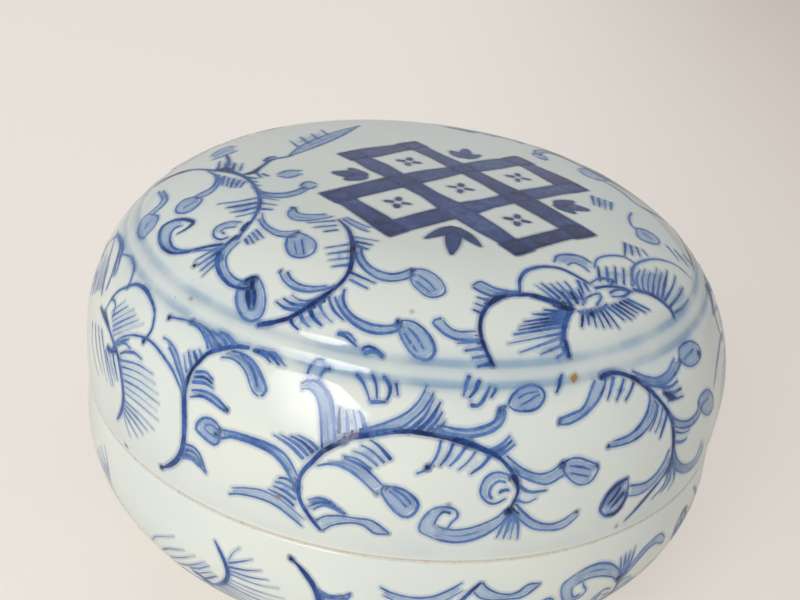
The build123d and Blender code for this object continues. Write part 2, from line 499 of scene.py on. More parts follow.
def lathe_tree():
    """Turns a section of points, as radius and height, into a closed wall."""
    inputs = {"Segments": "Int", "Wobble": "Float", "Joint Height": "Float", "Material": "Material"}
    tree, bench, given = geometry_tree("lathe", inputs)
    section = given["Geometry"]
    rows = bench.node("GeometryNodeAttributeDomainSize", {}, {"Geometry": section})
    columns = given["Segments"] + 1
    grid = bench.node("GeometryNodeMeshGrid", {}, {"Vertices X": columns, "Vertices Y": rows})
    index = bench.node("GeometryNodeInputIndex")
    column = (index / rows).maths("FLOOR", index / rows)
    row = index - column * rows

    def from_section(kind, value):
        settings = {"data_type": kind, "domain": "POINT"}
        sockets = {"Geometry": section, "Index": row, "Value": value}
        return bench.node("GeometryNodeSampleIndex", settings, sockets)

    position = from_section("FLOAT_VECTOR", bench.node("GeometryNodeInputPosition"))
    turn = column * (2 * math.pi) / given["Segments"]
    sockets = {"Vector": position, "Angle": turn}
    turned = bench.node("ShaderNodeVectorRotate", {"rotation_type": "Z_AXIS"}, sockets)
    for name in ("bare", "wash"):
        grid = bench.carry(grid, name, from_section("FLOAT", bench.carried(name)))
    wall = bench.node("GeometryNodeSetPosition", {}, {"Geometry": grid, "Position": turned})
    wall = bench.node("GeometryNodeMergeByDistance", {}, {"Geometry": wall, "Distance": SAME_PLACE})

    place = bench.node("GeometryNodeInputPosition")
    height = bench.part(place, "Z")
    away = (height - given["Joint Height"]).size().between(*TRUE_BY_JOINT) * height.between(*TRUE_BY_FOOT)
    wave = bench.noise(place, *WOBBLE_WAVE) - WOBBLE_LEVEL
    push = wave * away * given["Wobble"]
    offset = bench.scaled(bench.node("GeometryNodeInputNormal"), push)
    wall = bench.node("GeometryNodeSetPosition", {}, {"Geometry": wall, "Offset": offset})
    end_tree(bench, wall, given["Material"])
    return tree


# %% Running a tree
def run_tree(source, tree, values, name):
    """The plain mesh object that a tree makes from an object, which is then removed."""
    modifier = source.modifiers.new("tree", "NODES")
    modifier.node_group = tree
    for item in tree.interface.items_tree:
        if item.in_out == "INPUT" and item.name in values:
            modifier[item.identifier] = values[item.name]
    graph = bpy.context.evaluated_depsgraph_get()
    mesh = bpy.data.meshes.new_from_object(source.evaluated_get(graph), depsgraph=graph)
    bpy.data.objects.remove(source)
    mesh.name = name
    made = bpy.data.objects.new(name, mesh)
    bpy.context.scene.collection.objects.link(made)
    return made


def points_object(name, points, chains, values, faces=()):
    """A mesh of chains of points or of faces, with float or vector attributes on the points."""
    mesh = bpy.data.meshes.new(name)
    edges = [(a, a + 1) for first, last in chains for a in range(first, last)]
    mesh.from_pydata(points, edges, list(faces))
    for label, data in values.items():
        data = np.asarray(data, np.float32)
        kind, field = ("FLOAT_VECTOR", "vector") if data.ndim == 2 else ("FLOAT", "value")
        mesh.attributes.new(label, kind, "POINT").data.foreach_set(field, data.ravel())
    made = bpy.data.objects.new(name, mesh)
    bpy.context.scene.collection.objects.link(made)
    return made


# %% Throwing a piece
LATHE = lathe_tree()


def throw(name, section, bare, wash, material=PORCELAIN):
    """A turned piece from its section and the attributes drawn on it."""
    points = np.stack([section[:, 0], np.zeros(len(section)), section[:, 1]], 1)
    source = points_object(name + "_section", points, [(0, len(points) - 1)], {"bare": bare, "wash": wash})
    values = {"Segments": SEGMENTS, "Wobble": WOBBLE, "Joint Height": JOINT_HEIGHT, "Material": material}
    made = run_tree(source, LATHE, values, name)
    print(name, len(made.data.polygons), "faces")
    return made


print(LATHE.name, "is a tree of", len(LATHE.nodes), "nodes")

# %% [markdown]
# ### Sections
# The lid's section runs from the middle of the dome down the outside, round the bare rim and back
# up the inside. Two shallow grooves are pressed into the outside, with the ridge of the moulding
# left between them. Where the real edges are rounded, so are these.

# %% The lid's section
RIM_ROUNDING = 0.6 * MM
GROOVE_HALF = 1.10 * MM
GROOVE_DEPTH = 0.28 * MM
GROOVE_OFFSET = 1.3 * MM
WASH_CORE, WASH_SPREAD = 0.50 * MM, 1.9 * MM
CORE_STRENGTH, SPREAD_STRENGTH = 0.80, 0.25
# Painted shade: the glaze is made bluer and darker within a few millimetres of the mouth.
MOUTH_SHADE_SPREAD, MOUTH_SHADE_STRENGTH = 4.5 * MM, 0.20
RIDGE_ALONG = LID_WIDEST + math.radians(WALL_TURN) * WALL_ARC
BARE_REACH = 0.4 * MM
NO_ROUNDING, BEND_POINTS = 0, 5


def rounded(corners):
    """An outline through corners, each a point and the radius that it is rounded with."""
    path = [np.array(corners[0][0])]
    for (before, _), (corner, radius), (after, _) in zip(corners, corners[1:], corners[2:]):
        corner, before, after = (np.array(point) for point in (corner, before, after))
        back = (before - corner) / np.linalg.norm(before - corner)
        on = (after - corner) / np.linalg.norm(after - corner)
        half = math.acos(np.clip(back @ on, -1, 1)) / 2
        cut = radius / math.tan(half)
        for share in np.linspace(0, 1, BEND_POINTS if radius else 1):
            bend = (1 - share) ** 2 * (corner + back * cut) + 2 * share * (1 - share) * corner
            path.append(bend + share**2 * (corner + on * cut))
    path.append(np.array(corners[-1][0]))
    return joined(*[straight(a, b) for a, b in zip(path, path[1:])])


def lid_section():
    """The closed section of the lid, where it is bare, and where it is blue: pooled glaze in the grooves and
    painted shade by the mouth.
    """
    outside, inside = lid_outline(0), lid_outline(LID_WALL)
    depth = np.zeros(len(outside))
    # Painted shade by the mouth, fading out up the wall.
    wash = MOUTH_SHADE_STRENGTH * np.exp(-((lid_skin.along / MOUTH_SHADE_SPREAD) ** 2))
    for middle in (RIDGE_ALONG - GROOVE_OFFSET, RIDGE_ALONG + GROOVE_OFFSET):
        off = np.abs(lid_skin.along - middle)
        depth += GROOVE_DEPTH * np.cos(np.clip(off / GROOVE_HALF, 0, 1) * math.pi / 2) ** 2
        wash += CORE_STRENGTH * np.exp(-((off / WASH_CORE) ** 2))
        wash += SPREAD_STRENGTH * np.exp(-((off / WASH_SPREAD) ** 2))
    outside = outside - lid_skin.outward * depth[:, None]
    keep_out = outside[:, 1] > JOINT_HEIGHT + RIM_ROUNDING
    keep_in = inside[:, 1] > JOINT_HEIGHT + RIM_ROUNDING
    start, stop = outside[keep_out][0], inside[keep_in][0]
    rim_out = (outside[0, 0], JOINT_HEIGHT)
    rim_in = (inside[0, 0], JOINT_HEIGHT)
    corners = [(rim_out, RIM_ROUNDING), (rim_in, RIM_ROUNDING)]
    rim = rounded([(start, NO_ROUNDING), *corners, (stop, NO_ROUNDING)])
    section = joined(outside[keep_out][::-1], rim, inside[keep_in])
    bare = np.clip(1 - (section[:, 1] - JOINT_HEIGHT) / BARE_REACH, 0, 1)
    washed = np.zeros(len(section))
    washed[: keep_out.sum()] = np.clip(wash[keep_out][::-1], 0, 1)
    return section[::-1], bare[::-1], washed[::-1]


lid = throw("painted_lid", *lid_section())
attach(lid, "lid")
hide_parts("lid")

# %% The base's section
FOOT_WALL = 3.4 * MM
FOOT_TAPER = 0.6 * MM
FOOT_ROUNDING = 0.5 * MM
FOOT_RECESS = 3.0 * MM
FLANGE_WALL = 2.3 * MM
FLANGE_HEIGHT = 4.5 * MM
FLANGE_ROUNDING = 0.7 * MM
FLANGE_FILLET = 2 * MM
GLAZED_SHARE = 1 / 3
LID_CLEARANCE = 0.4 * MM
FOOT_BARE = 0.8 * MM


def base_section():
    """The closed section of the base, and where it is bare."""
    outside, inside = base_outline(0, FOOT_RADIUS), base_outline(BOWL_WALL, 0)
    flange_outside = outside[0, 0] - LID_WALL - LID_CLEARANCE
    flange_inside = flange_outside - FLANGE_WALL
    flange_top = JOINT_HEIGHT + FLANGE_HEIGHT
    foot_inside = FOOT_RADIUS - FOOT_WALL
    foot = rounded([
        ((0, FOOT_RECESS), NO_ROUNDING),
        ((foot_inside, FOOT_RECESS), FOOT_ROUNDING),
        ((foot_inside + FOOT_TAPER, 0), FOOT_ROUNDING),
        ((FOOT_RADIUS - FOOT_TAPER, 0), FOOT_ROUNDING),
        (outside[-1], NO_ROUNDING),
    ])
    wall = outside[outside[:, 1] < JOINT_HEIGHT - RIM_ROUNDING][::-1]
    bowl = inside[inside[:, 1] < JOINT_HEIGHT - BASE_WIDEST]
    flange = rounded([
        (wall[-1], NO_ROUNDING),
        ((outside[0, 0], JOINT_HEIGHT), RIM_ROUNDING),
        ((flange_outside, JOINT_HEIGHT), NO_ROUNDING),
        ((flange_outside, flange_top), FLANGE_ROUNDING),
        ((flange_inside, flange_top), FLANGE_ROUNDING),
        ((flange_inside, JOINT_HEIGHT - FLANGE_ROUNDING), FLANGE_FILLET),
        (bowl[0], NO_ROUNDING),
    ])
    floor = straight(bowl[-1], (0, bowl[-1, 1]))
    section = joined(foot, wall, flange, bowl, floor)
    by_foot = np.clip(1 - section[:, 1] / FOOT_BARE, 0, 1)
    on_ledge = np.clip(1 - (JOINT_HEIGHT - section[:, 1]) / BARE_REACH, 0, 1)
    on_ledge[section[:, 0] < flange_inside + FLANGE_WALL * GLAZED_SHARE] = 0
    return section, np.maximum(by_foot, on_ledge), np.zeros(len(section))


base = throw("painted_base", *base_section())
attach(base, "base")
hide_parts("base")

# %% [markdown]
# ## Cobalt under the glaze
# The painter's brush leaves three kinds of mark: lines that swell and taper, flicks that start
# wet and end in a point, and pale washes laid between two lines. Each mark here is a thin ribbon of
# faces that follows the glaze a few hundredths of a millimetre above it. It carries its own
# attributes: how far across the brush a point is, how wide the brush is there, how soft its edge is
# and how much cobalt it holds. The material turns these into a soft edge with a faint bleed into the
# glaze round it, darker pooling beside the edge, and bristle streaks.

# %% The cobalt's material
COBALT_STOPS = (
    (0.00, (0.480, 0.630, 0.800)),
    (0.20, (0.270, 0.410, 0.680)),
    (0.40, (0.095, 0.200, 0.480)),
    (0.55, (0.040, 0.115, 0.360)),
    (0.70, (0.008, 0.050, 0.225)),
    (0.85, (0.003, 0.022, 0.115)),
    (1.00, (0.001, 0.009, 0.055)),
)
# Painted reflection: these stops are greyed for the pale sky that the dome reflects at a grazing angle; how
# dark they are is the heavy cobalt's own.
SKY_GREYED_COBALT_STOPS = (
    (0.00, (0.360, 0.440, 0.600)),
    (0.30, (0.110, 0.160, 0.330)),
    (0.50, (0.030, 0.060, 0.205)),
    (0.70, (0.014, 0.030, 0.112)),
    (1.00, (0.005, 0.008, 0.024)),
)
BLEED, BLEED_COVER = 0.36 * MM, 0.26
CORNER_ROUND = 1.4
RAGGED_WAVE, EDGE_RAGGED = (1.6 * PER_MM, 2.0), 0.14 * MM
POOL_ACROSS, POOL_WIDTH, POOLING = (0.35, 0.92), (0.6 * MM, 1.3 * MM), 0.30
BEAD_REACH, BEADING = 0.85 * MM, 0.30
HEAPS, HEAPING = (0.38 * PER_MM, 0.54, 0.72, 2.0), 0.25
STREAKS, STREAKING = (0.7 * PER_MM, 4.0), 0.60
GRAINS, GRAINING = (2.6 * PER_MM, 2.0), 0.30
PLAIN_DENSITY, CORE_DENSITY = 0.84, 0.55
SEE_THROUGH = (-0.25, 0.45)


def cobalt(name, stops):
    """Brushed cobalt under the glaze, from the ribbon's own attributes."""
    material, bench = new_material(name)
    where = bench.node("ShaderNodeTexCoord", out="Object")
    across = bench.attribute("across").size()
    half, ends, tone, soft = (bench.attribute(label) for label in ("half", "ends", "tone", "soft"))
    corner = half.maths("MINIMUM", half, soft * CORNER_ROUND + BLEED)
    beside = (across * half - half + corner).positive()
    beyond = (corner - ends).positive()
    ragged = (bench.noise(where, *RAGGED_WAVE) - 0.5) * EDGE_RAGGED
    inside = corner - (beside * beside + beyond * beyond).root() + ragged
    core = ((inside - BLEED) / soft).between(0.0, 1.0)
    bleed = inside.between(0.0, BLEED) * BLEED_COVER
    cover = core.maths("MAXIMUM", core, bleed)
    pooling = across.between(*POOL_ACROSS) * half.between(*POOL_WIDTH) * POOLING
    bead = ends.between(BEAD_REACH, BLEED) * BEADING
    heaped = bench.patches(where, *HEAPS) * HEAPING
    streaks = (bench.noise(where, *STREAKS) - 0.5) * STREAKING
    grains = (bench.noise(where, *GRAINS) - 0.5) * GRAINING
    density = tone * (streaks + grains + pooling + bead + heaped + PLAIN_DENSITY)
    density = density * (core * CORE_DENSITY + (1 - CORE_DENSITY))
    sockets = {
        "Base Color": bench.node("ShaderNodeValToRGB", {"stops": stops}, {"Fac": density}),
        "Roughness": GLAZE_ROUGHNESS,
        "IOR": GLAZE_IOR,
        "Alpha": cover * density.between(*SEE_THROUGH),
        "Normal": glaze_ripple(bench, where),
    }
    finish_material(bench, sockets)
    return material


COBALT = cobalt("cobalt_brushwork", COBALT_STOPS)
# The medallion's cobalt carries painted reflection: a grey cast for the sky seen at a grazing angle.
SKY_GREYED_COBALT = cobalt("cobalt_with_painted_reflection", SKY_GREYED_COBALT_STOPS)
print("made", COBALT.name, "and", SKY_GREYED_COBALT.name)

# %% Laying marks on the glaze with Geometry Nodes
def lay_on(bench, given, marks):
    """Drops marks onto the porcelain, then lifts each by its own layer's height."""
    settings = {"transform_space": "ORIGINAL"}
    wall = bench.node("GeometryNodeObjectInfo", settings, {"Object": given["Porcelain"]}, out="Geometry")
    nearest = bench.node("GeometryNodeProximity", {"target_element": "FACES"}, {0: wall})
    out = bench.carried("out", "FLOAT_VECTOR")
    raised = bench.scaled(out, bench.carried("lift"))
    sockets = {"Geometry": marks, "Position": nearest, "Offset": raised}
    laid = bench.node("GeometryNodeSetPosition", {}, sockets)
    sockets = {0: bench.node("GeometryNodeInputNormal"), 1: out}
    facing = bench.node("ShaderNodeVectorMath", {"operation": "DOT_PRODUCT"}, sockets, out="Value")
    inward = bench.node("FunctionNodeCompare", {"operation": "LESS_THAN"}, {0: facing, 1: 0.0})
    laid = bench.node("GeometryNodeFlipFaces", {}, {"Mesh": laid, "Selection": inward})
    end_tree(bench, laid, given["Material"])


def stroke_tree():
    """Turns chains of points into ribbons as wide as their half attribute says."""
    inputs = {"Porcelain": "Object", "Bristles": "Int", "Material": "Material"}
    tree, bench, given = geometry_tree("brush_strokes", inputs)
    path = bench.node("GeometryNodeMeshToCurve", {}, {"Mesh": given["Geometry"]})
    sockets = {"Curve": path, "Normal": bench.carried("out", "FLOAT_VECTOR")}
    path = bench.node("GeometryNodeSetCurveNormal", {"mode": "FREE"}, sockets)
    brush = bench.node("GeometryNodeCurvePrimitiveLine", {}, {"Start": (0, -1, 0), "End": (0, 1, 0)})
    brush = bench.node("GeometryNodeResampleCurve", {}, {"Curve": brush, "Count": given["Bristles"]})
    across = bench.part(bench.node("GeometryNodeInputPosition"), "Y")
    brush = bench.carry(brush, "across", across)
    sockets = {"Curve": path, "Profile Curve": brush, "Scale": bench.carried("half")}
    lay_on(bench, given, bench.node("GeometryNodeCurveToMesh", {}, sockets))
    return tree


def wash_tree():
    """Lays ready-made sheets of faces on the porcelain."""
    tree, bench, given = geometry_tree("washes", {"Porcelain": "Object", "Material": "Material"})
    lay_on(bench, given, given["Geometry"])
    return tree


STROKES, WASHES = stroke_tree(), wash_tree()
print("trees", STROKES.name, len(STROKES.nodes), "nodes and", WASHES.name, len(WASHES.nodes), "nodes")

# %% [markdown]
# ## The painter's touch
# A mark is a smooth path through a few places, widths that follow the brush's pressure, and an
# amount of cobalt. Nothing hand-painted is even, so each mark also wavers a little, always from the
# same seed. Marks are kept as plain points first, because the same spray of leaves is painted again
# on the far side of the lid, and turned over on the base.

# %% Smooth paths
SEED = 7
luck = random.Random(SEED)
SPACING = 0.5 * MM
WAVER_POINTS = 7


def smooth_path(points, spacing=SPACING):
    """Even points on the lid along a smooth curve through a few places on it."""
    points = np.array(points, float)
    if len(points) == 2:
        points = np.array([points[0], points.mean(0), points[1]])
    ends = [2 * points[0] - points[1], *points, 2 * points[-1] - points[-2]]
    pieces = []
    for before, start, stop, after in zip(ends, ends[1:], ends[2:], ends[3:]):
        count = max(3, int(np.linalg.norm(stop - start) / spacing * 2))
        t = np.linspace(0, 1, count, endpoint=False)[:, None]
        pieces.append(
            0.5 * (2 * start + (stop - before) * t
                   + (2 * before - 5 * start + 4 * stop - after) * t**2
                   + (3 * start - before - 3 * stop + after) * t**3)
        )
    path = np.vstack(pieces + [points[-1:]])
    steps = np.concatenate([[0], np.cumsum(np.linalg.norm(np.diff(path, axis=0), axis=1))])
    even = np.linspace(0, steps[-1], max(4, int(steps[-1] / spacing) + 1))
    path = np.stack([np.interp(even, steps, path[:, i]) for i in range(3)], 1)
    return lid_skin.snap(path)[0]


# %% The brush's pressure
LINE_START, LINE_PRESS = 0.65, 6
LINE_END, LINE_LIFT = 0.45, 5
LINE_RUN, LINE_SWELL = 0.90, 0.14
FLICK_START, FLICK_PRESS, FLICK_LOSS = 0.70, 3, 0.50
PETAL_TIP, PETAL_LEAN = 0.12, 0.85


def line_pressure(t):
    """A line: a quick touch down, an even run that swells a little, and a lift at the end."""
    down = np.minimum(1, LINE_START + LINE_PRESS * t)
    off = np.minimum(1, LINE_END + LINE_LIFT * (1 - t))
    return down * off * (LINE_RUN + LINE_SWELL * np.sin(math.pi * t))


def flick_pressure(t):
    """A flick: pressed where it starts, and thinner towards where it is lifted."""
    return np.minimum(1, FLICK_START + FLICK_PRESS * t) * (1 - FLICK_LOSS * t**2)


def petal_pressure(t):
    """A pressed mark: thin, thick and thin again, and thickest a little before its middle."""
    return PETAL_TIP + (1 - PETAL_TIP) * np.sin(math.pi * t**PETAL_LEAN)


def even_pressure(t):
    """A flat brush held at one width."""
    return np.ones_like(t)


def waver(count, amount):
    """Slow uneven factors round 1, one for each point."""
    knots = max(3, count // WAVER_POINTS)
    values = [1 + luck.uniform(-amount, amount) for _ in range(knots)]
    return np.interp(np.linspace(0, knots - 1, count), range(knots), values)


print("a flick starts at", flick_pressure(0), "and ends at", flick_pressure(1), "of its width")

# %% The layers and edges of marks
LIFTS = {"wash": 0.006 * MM, "flick": 0.013 * MM, "line": 0.020 * MM, "heap": 0.027 * MM}
LIFT_STEP, LIFT_STEPS = 0.001 * MM, 6
GROOVE_LIFT, GROOVE_REACH = 0.040 * MM, 3 * MM
LABELS = ("across", "half", "ends", "tone", "soft", "lift")
WIDTH_WAVER, TONE_WAVER, WASH_WAVER = 0.18, 0.20, 0.25
LINE_SOFT, WASH_SOFT, FAINT_SOFT = 0.30 * MM, 0.34 * MM, 1.20 * MM
WASH_OVER = 0.30 * MM
ROW_WIDTH, MOST_ROWS = 0.8 * MM, 16
LEAST_GAP, LEAST_HALF, LEAST_STEP = 0.05 * MM, 0.02 * MM, 1e-6 * MM
VEIN_ROOM = 2.1 * MM


def lengthened(path):
    """A path with one more point at each end, so that the bleed goes past the mark and not into it."""
    first, last = path[0] - path[1], path[-1] - path[-2]
    first, last = (way / max(np.linalg.norm(way), LEAST_STEP) * BLEED for way in (first, last))
    return np.vstack([path[:1] + first, path, path[-1:] + last])


def to_ends(path):
    """How far each point of a path is from the nearer end."""
    along = np.concatenate([[0], np.cumsum(np.linalg.norm(np.diff(path, axis=0), axis=1))])
    return np.minimum(along, along[-1] - along)


# %% A painting, which keeps marks as points
class Painting:
    """Marks of the brush, kept as points until they are laid on a piece."""

    def __init__(self):
        self.strokes, self.sheets = [], []

    def stroke(self, places, width, tone, pressure=line_pressure, layer="line", soft=LINE_SOFT):
        """One pull of the brush through places on the lid, as wide as width in millimetres."""
        path = lengthened(smooth_path(places))
        t = np.linspace(0, 1, len(path))
        half = pressure(t) * width / 2 * MM * waver(len(path), WIDTH_WAVER) + BLEED
        lift = LIFTS[layer] + LIFT_STEP * (len(self.strokes) % LIFT_STEPS)
        tone = tone * waver(len(path), TONE_WAVER)
        values = {"half": half, "ends": to_ends(path), "tone": tone, "soft": soft, "lift": lift}
        self.strokes.append((path, values))

    def sheet(self, left, right, tone, soft=WASH_SOFT):
        """A wash between two lines that run the same way, reaching just under both.

        Gives the wash's middle line, where there is room for a vein.
        """
        left, right = smooth_path(left), smooth_path(right)
        count = max(len(left), len(right))
        share = np.linspace(0, 1, count)
        sides = []
        for path in (left, right):
            t = np.linspace(0, 1, len(path))
            sides.append(np.stack([np.interp(share, t, path[:, i]) for i in range(3)], 1))
        gap = np.linalg.norm(sides[0] - sides[1], axis=1)
        over = (sides[0] - sides[1]) / np.maximum(gap, LEAST_GAP)[:, None] * WASH_OVER
        sides, gap = [sides[0] + over, sides[1] - over], gap + 2 * WASH_OVER
        rows = min(MOST_ROWS, max(3, int(gap.max() / ROW_WIDTH) + 2))
        s = np.linspace(0, 1, rows)[:, None, None]
        grid = sides[0] * (1 - s) + sides[1] * s
        values = {
            "across": np.repeat(np.linspace(-1, 1, rows)[:, None], count, 1),
            "half": np.repeat(np.maximum(gap / 2, LEAST_HALF)[None], rows, 0),
            "ends": np.repeat(to_ends((sides[0] + sides[1]) / 2)[None], rows, 0),
            "tone": tone * np.repeat(waver(count, WASH_WAVER)[None], rows, 0),
            "soft": soft,
            "lift": LIFTS["wash"] + LIFT_STEP * (len(self.sheets) % LIFT_STEPS),
        }
        self.sheets.append((grid, values))
        return (sides[0] + sides[1])[gap > VEIN_ROOM] / 2

    def moved(self, move):
        """The same marks with every place moved by a function."""
        copy = Painting()
        copy.strokes = [(move(path), values) for path, values in self.strokes]
        copy.sheets = [(move(grid), values) for grid, values in self.sheets]
        return copy

    def __add__(self, other):
        """Two paintings as one."""
        both = Painting()
        both.strokes = self.strokes + other.strokes
        both.sheets = self.sheets + other.sheets
        return both


# %% Laying a painting on a turned half
def by_groove(skin, points):
    """1 on the moulding, where marks need more lift to clear the grooves, and 0 elsewhere."""
    if skin is not lid_skin:
        return np.zeros(len(points))
    return np.abs(skin.find(points)[1] - RIDGE_ALONG) < GROOVE_REACH


def lay(painting, name, skin, piece, body, material=COBALT, bristles=3):
    """Makes a painting's strokes and washes as pieces on a turned half."""
    kinds = {"strokes": (painting.strokes, STROKES, material), "washes": (painting.sheets, WASHES, COBALT)}
    for kind, (marks, tree, finish) in kinds.items():
        if not marks:
            continue
        points = np.vstack([places.reshape(-1, 3) for places, _ in marks])
        values = {"out": skin.snap(points)[1]}
        for label in LABELS:
            if label in marks[0][1]:
                parts = [np.broadcast_to(v[label], places.shape[:-1]).ravel() for places, v in marks]
                values[label] = np.concatenate(parts)
        values["lift"] = values["lift"] + GROOVE_LIFT * by_groove(skin, points)
        chains, faces, start = [], [], 0
        for places, _ in marks:
            count = places[..., 0].size
            if kind == "strokes":
                chains.append((start, start + count - 1))
            else:
                index = start + np.arange(count).reshape(places.shape[:2])
                quads = np.stack([index[:-1, :-1], index[:-1, 1:], index[1:, 1:], index[1:, :-1]], -1)
                faces += quads.reshape(-1, 4).tolist()
            start += count
        source = points_object(name, points, chains, values, faces)
        inputs = {"Porcelain": piece, "Bristles": bristles, "Material": finish}
        made = run_tree(source, tree, inputs, name + "_" + kind)
        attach(made, body)
        print(made.name, len(made.data.polygons), "faces")


print("layers above the glaze", {name: round(lift / MM, 3) for name, lift in LIFTS.items()}, "mm")

# %% [markdown]
# ## The vocabulary of the scroll
# The pattern is a traditional flower scroll: stems that coil, curling leaves, buds on tendrils, full
# blooms, and combs of short flicks that fill the turns. Each word of it is a function here, and each
# part of the pattern is a small table of those words. Places are pixels read off the photograph, and
# the camera turns them into places on the lid.

# %% Lines, leaves and buds
STEM_WIDTH, BOUGH_WIDTH, EDGE_WIDTH, FLICK_WIDTH = 0.95, 0.85, 0.66, 0.80
STEM_TONE, BOUGH_TONE, EDGE_TONE, FLICK_TONE, RAY_TONE = 0.88, 0.74, 0.56, 0.57, 0.52
HEAP_TONE, WASH_TONE, FAINT_TONE = 1.05, 0.125, 0.09
RAY_WIDTH, RIB_WIDTH, TOUCH_WIDTH = 0.60, 0.56, 0.95
HEAP_WIDTH, FAN_WIDTH = STEM_WIDTH * 1.05, FLICK_WIDTH * 1.1
BUD_TONE, FAN_TONE = WASH_TONE * 1.1, FLICK_TONE * 1.22
VEIN_WIDTH, VEIN_TONE, VEIN_POINTS = 0.50, 0.44, 6
ROOT_REACH, TIP_WAVER = 0.10, 0.10
TOUCH_STEP = np.array([2, 0.5])
EVEN_PULL, ROW_TONE, FLICK_LOAD, TOUCH_LOAD = (0.85, 1.15), (0.85, 1.25), (0.9, 1.3), (0.8, 1.0)


def stem(spray, *paths):
    """Dark stems."""
    for places in paths:
        spray.stroke(seen(places), STEM_WIDTH, STEM_TONE)


def bough(spray, *paths):
    """Stems drawn with less cobalt."""
    for places in paths:
        spray.stroke(seen(places), BOUGH_WIDTH, BOUGH_TONE)


def edge(spray, *paths):
    """Thin outlines."""
    for places in paths:
        spray.stroke(seen(places), EDGE_WIDTH, EDGE_TONE)


def leaf(spray, *pairs):
    """Pale washes, each between two thin lines, with a fainter line down the middle where there is room."""
    for left, right in pairs:
        middle = spray.sheet(seen(left), seen(right), WASH_TONE)
        if len(middle) > VEIN_POINTS:
            spray.stroke(middle, VEIN_WIDTH, VEIN_TONE, petal_pressure, "flick")
        edge(spray, left, right)


def bud(spray, *buds):
    """Closed buds: a wash inside one looped outline, with ribs drawn in it."""
    for loop, *ribs in buds:
        half = len(loop) // 2
        spray.sheet(seen(loop[: half + 1]), seen([loop[0], *loop[:half - 1:-1]]), BUD_TONE)
        edge(spray, [*loop, loop[0]])
        for rib in ribs:
            spray.stroke(seen(rib), RIB_WIDTH, FLICK_TONE, line_pressure, "flick")


# %% Rows of flicks
def row_of_flicks(spray, first, last, count, width, tone):
    """Flicks from a first to a last, each from its root, which touches the stem, to its tip."""
    first, last = np.array(first, float), np.array(last, float)
    for share in np.linspace(0, 1, count):
        places = first * (1 - share) + last * share
        places[-1] += (places[-1] - places[0]) * luck.uniform(-TIP_WAVER, TIP_WAVER)
        places[0] -= (places[1] - places[0]) * ROOT_REACH
        pull = width * luck.uniform(*EVEN_PULL)
        spray.stroke(seen(places), pull, tone * luck.uniform(*ROW_TONE), flick_pressure, "flick")


def comb(spray, *rows):
    """Rows of flicks over a faint wash."""
    for first, last, count in rows:
        spray.sheet(seen(first), seen(last), FAINT_TONE, FAINT_SOFT)
        row_of_flicks(spray, first, last, count, FLICK_WIDTH, FLICK_TONE)


def fan(spray, *rows):
    """Rows of flicks pulled with a full brush."""
    for first, last, count in rows:
        row_of_flicks(spray, first, last, count, FAN_WIDTH, FAN_TONE)


def ray(spray, *rows):
    """Rows of thin flicks on bare glaze."""
    for first, last, count in rows:
        row_of_flicks(spray, first, last, count, RAY_WIDTH, RAY_TONE)


# %% Dabs, washes and single flicks
def heap(spray, *paths):
    """Short dark runs where the brush rested and the cobalt lies thick."""
    for places in paths:
        spray.stroke(seen(places), HEAP_WIDTH, HEAP_TONE, petal_pressure, "heap")


def touch(spray, *spots):
    """Dark dabs where the brush was set down or stopped."""
    for spot in spots:
        places = [spot - TOUCH_STEP, spot + TOUCH_STEP]
        tone = HEAP_TONE * luck.uniform(*TOUCH_LOAD)
        spray.stroke(seen(places), TOUCH_WIDTH, tone, even_pressure, "heap")


def wash(spray, *pairs):
    """Washes without outlines of their own."""
    for left, right in pairs:
        spray.sheet(seen(left), seen(right), WASH_TONE)


def flick(spray, *paths):
    """Single flicks."""
    for places in paths:
        tone = FLICK_TONE * luck.uniform(*FLICK_LOAD)
        spray.stroke(seen(places), FLICK_WIDTH, tone, flick_pressure, "flick")


# %% A spray from a table of words
WORDS = {
    "stems": stem, "boughs": bough, "edges": edge, "leaves": leaf, "buds": bud, "combs": comb,
    "fans": fan, "rays": ray, "flicks": flick, "heaps": heap, "touches": touch, "washes": wash,
}


def paint(**words):
    """A spray from a table of words and what each is drawn through."""
    spray = Painting()
    for word, marks in words.items():
        WORDS[word](spray, *marks)
    print(len(spray.strokes), "strokes and", len(spray.sheets), "washes")
    return spray


print("words of the scroll:", ", ".join(WORDS))

# %% [markdown]
# ### The side wall
# Four parts of the scroll show on the side wall, from a bloom at the left to a curling stem at the
# right.

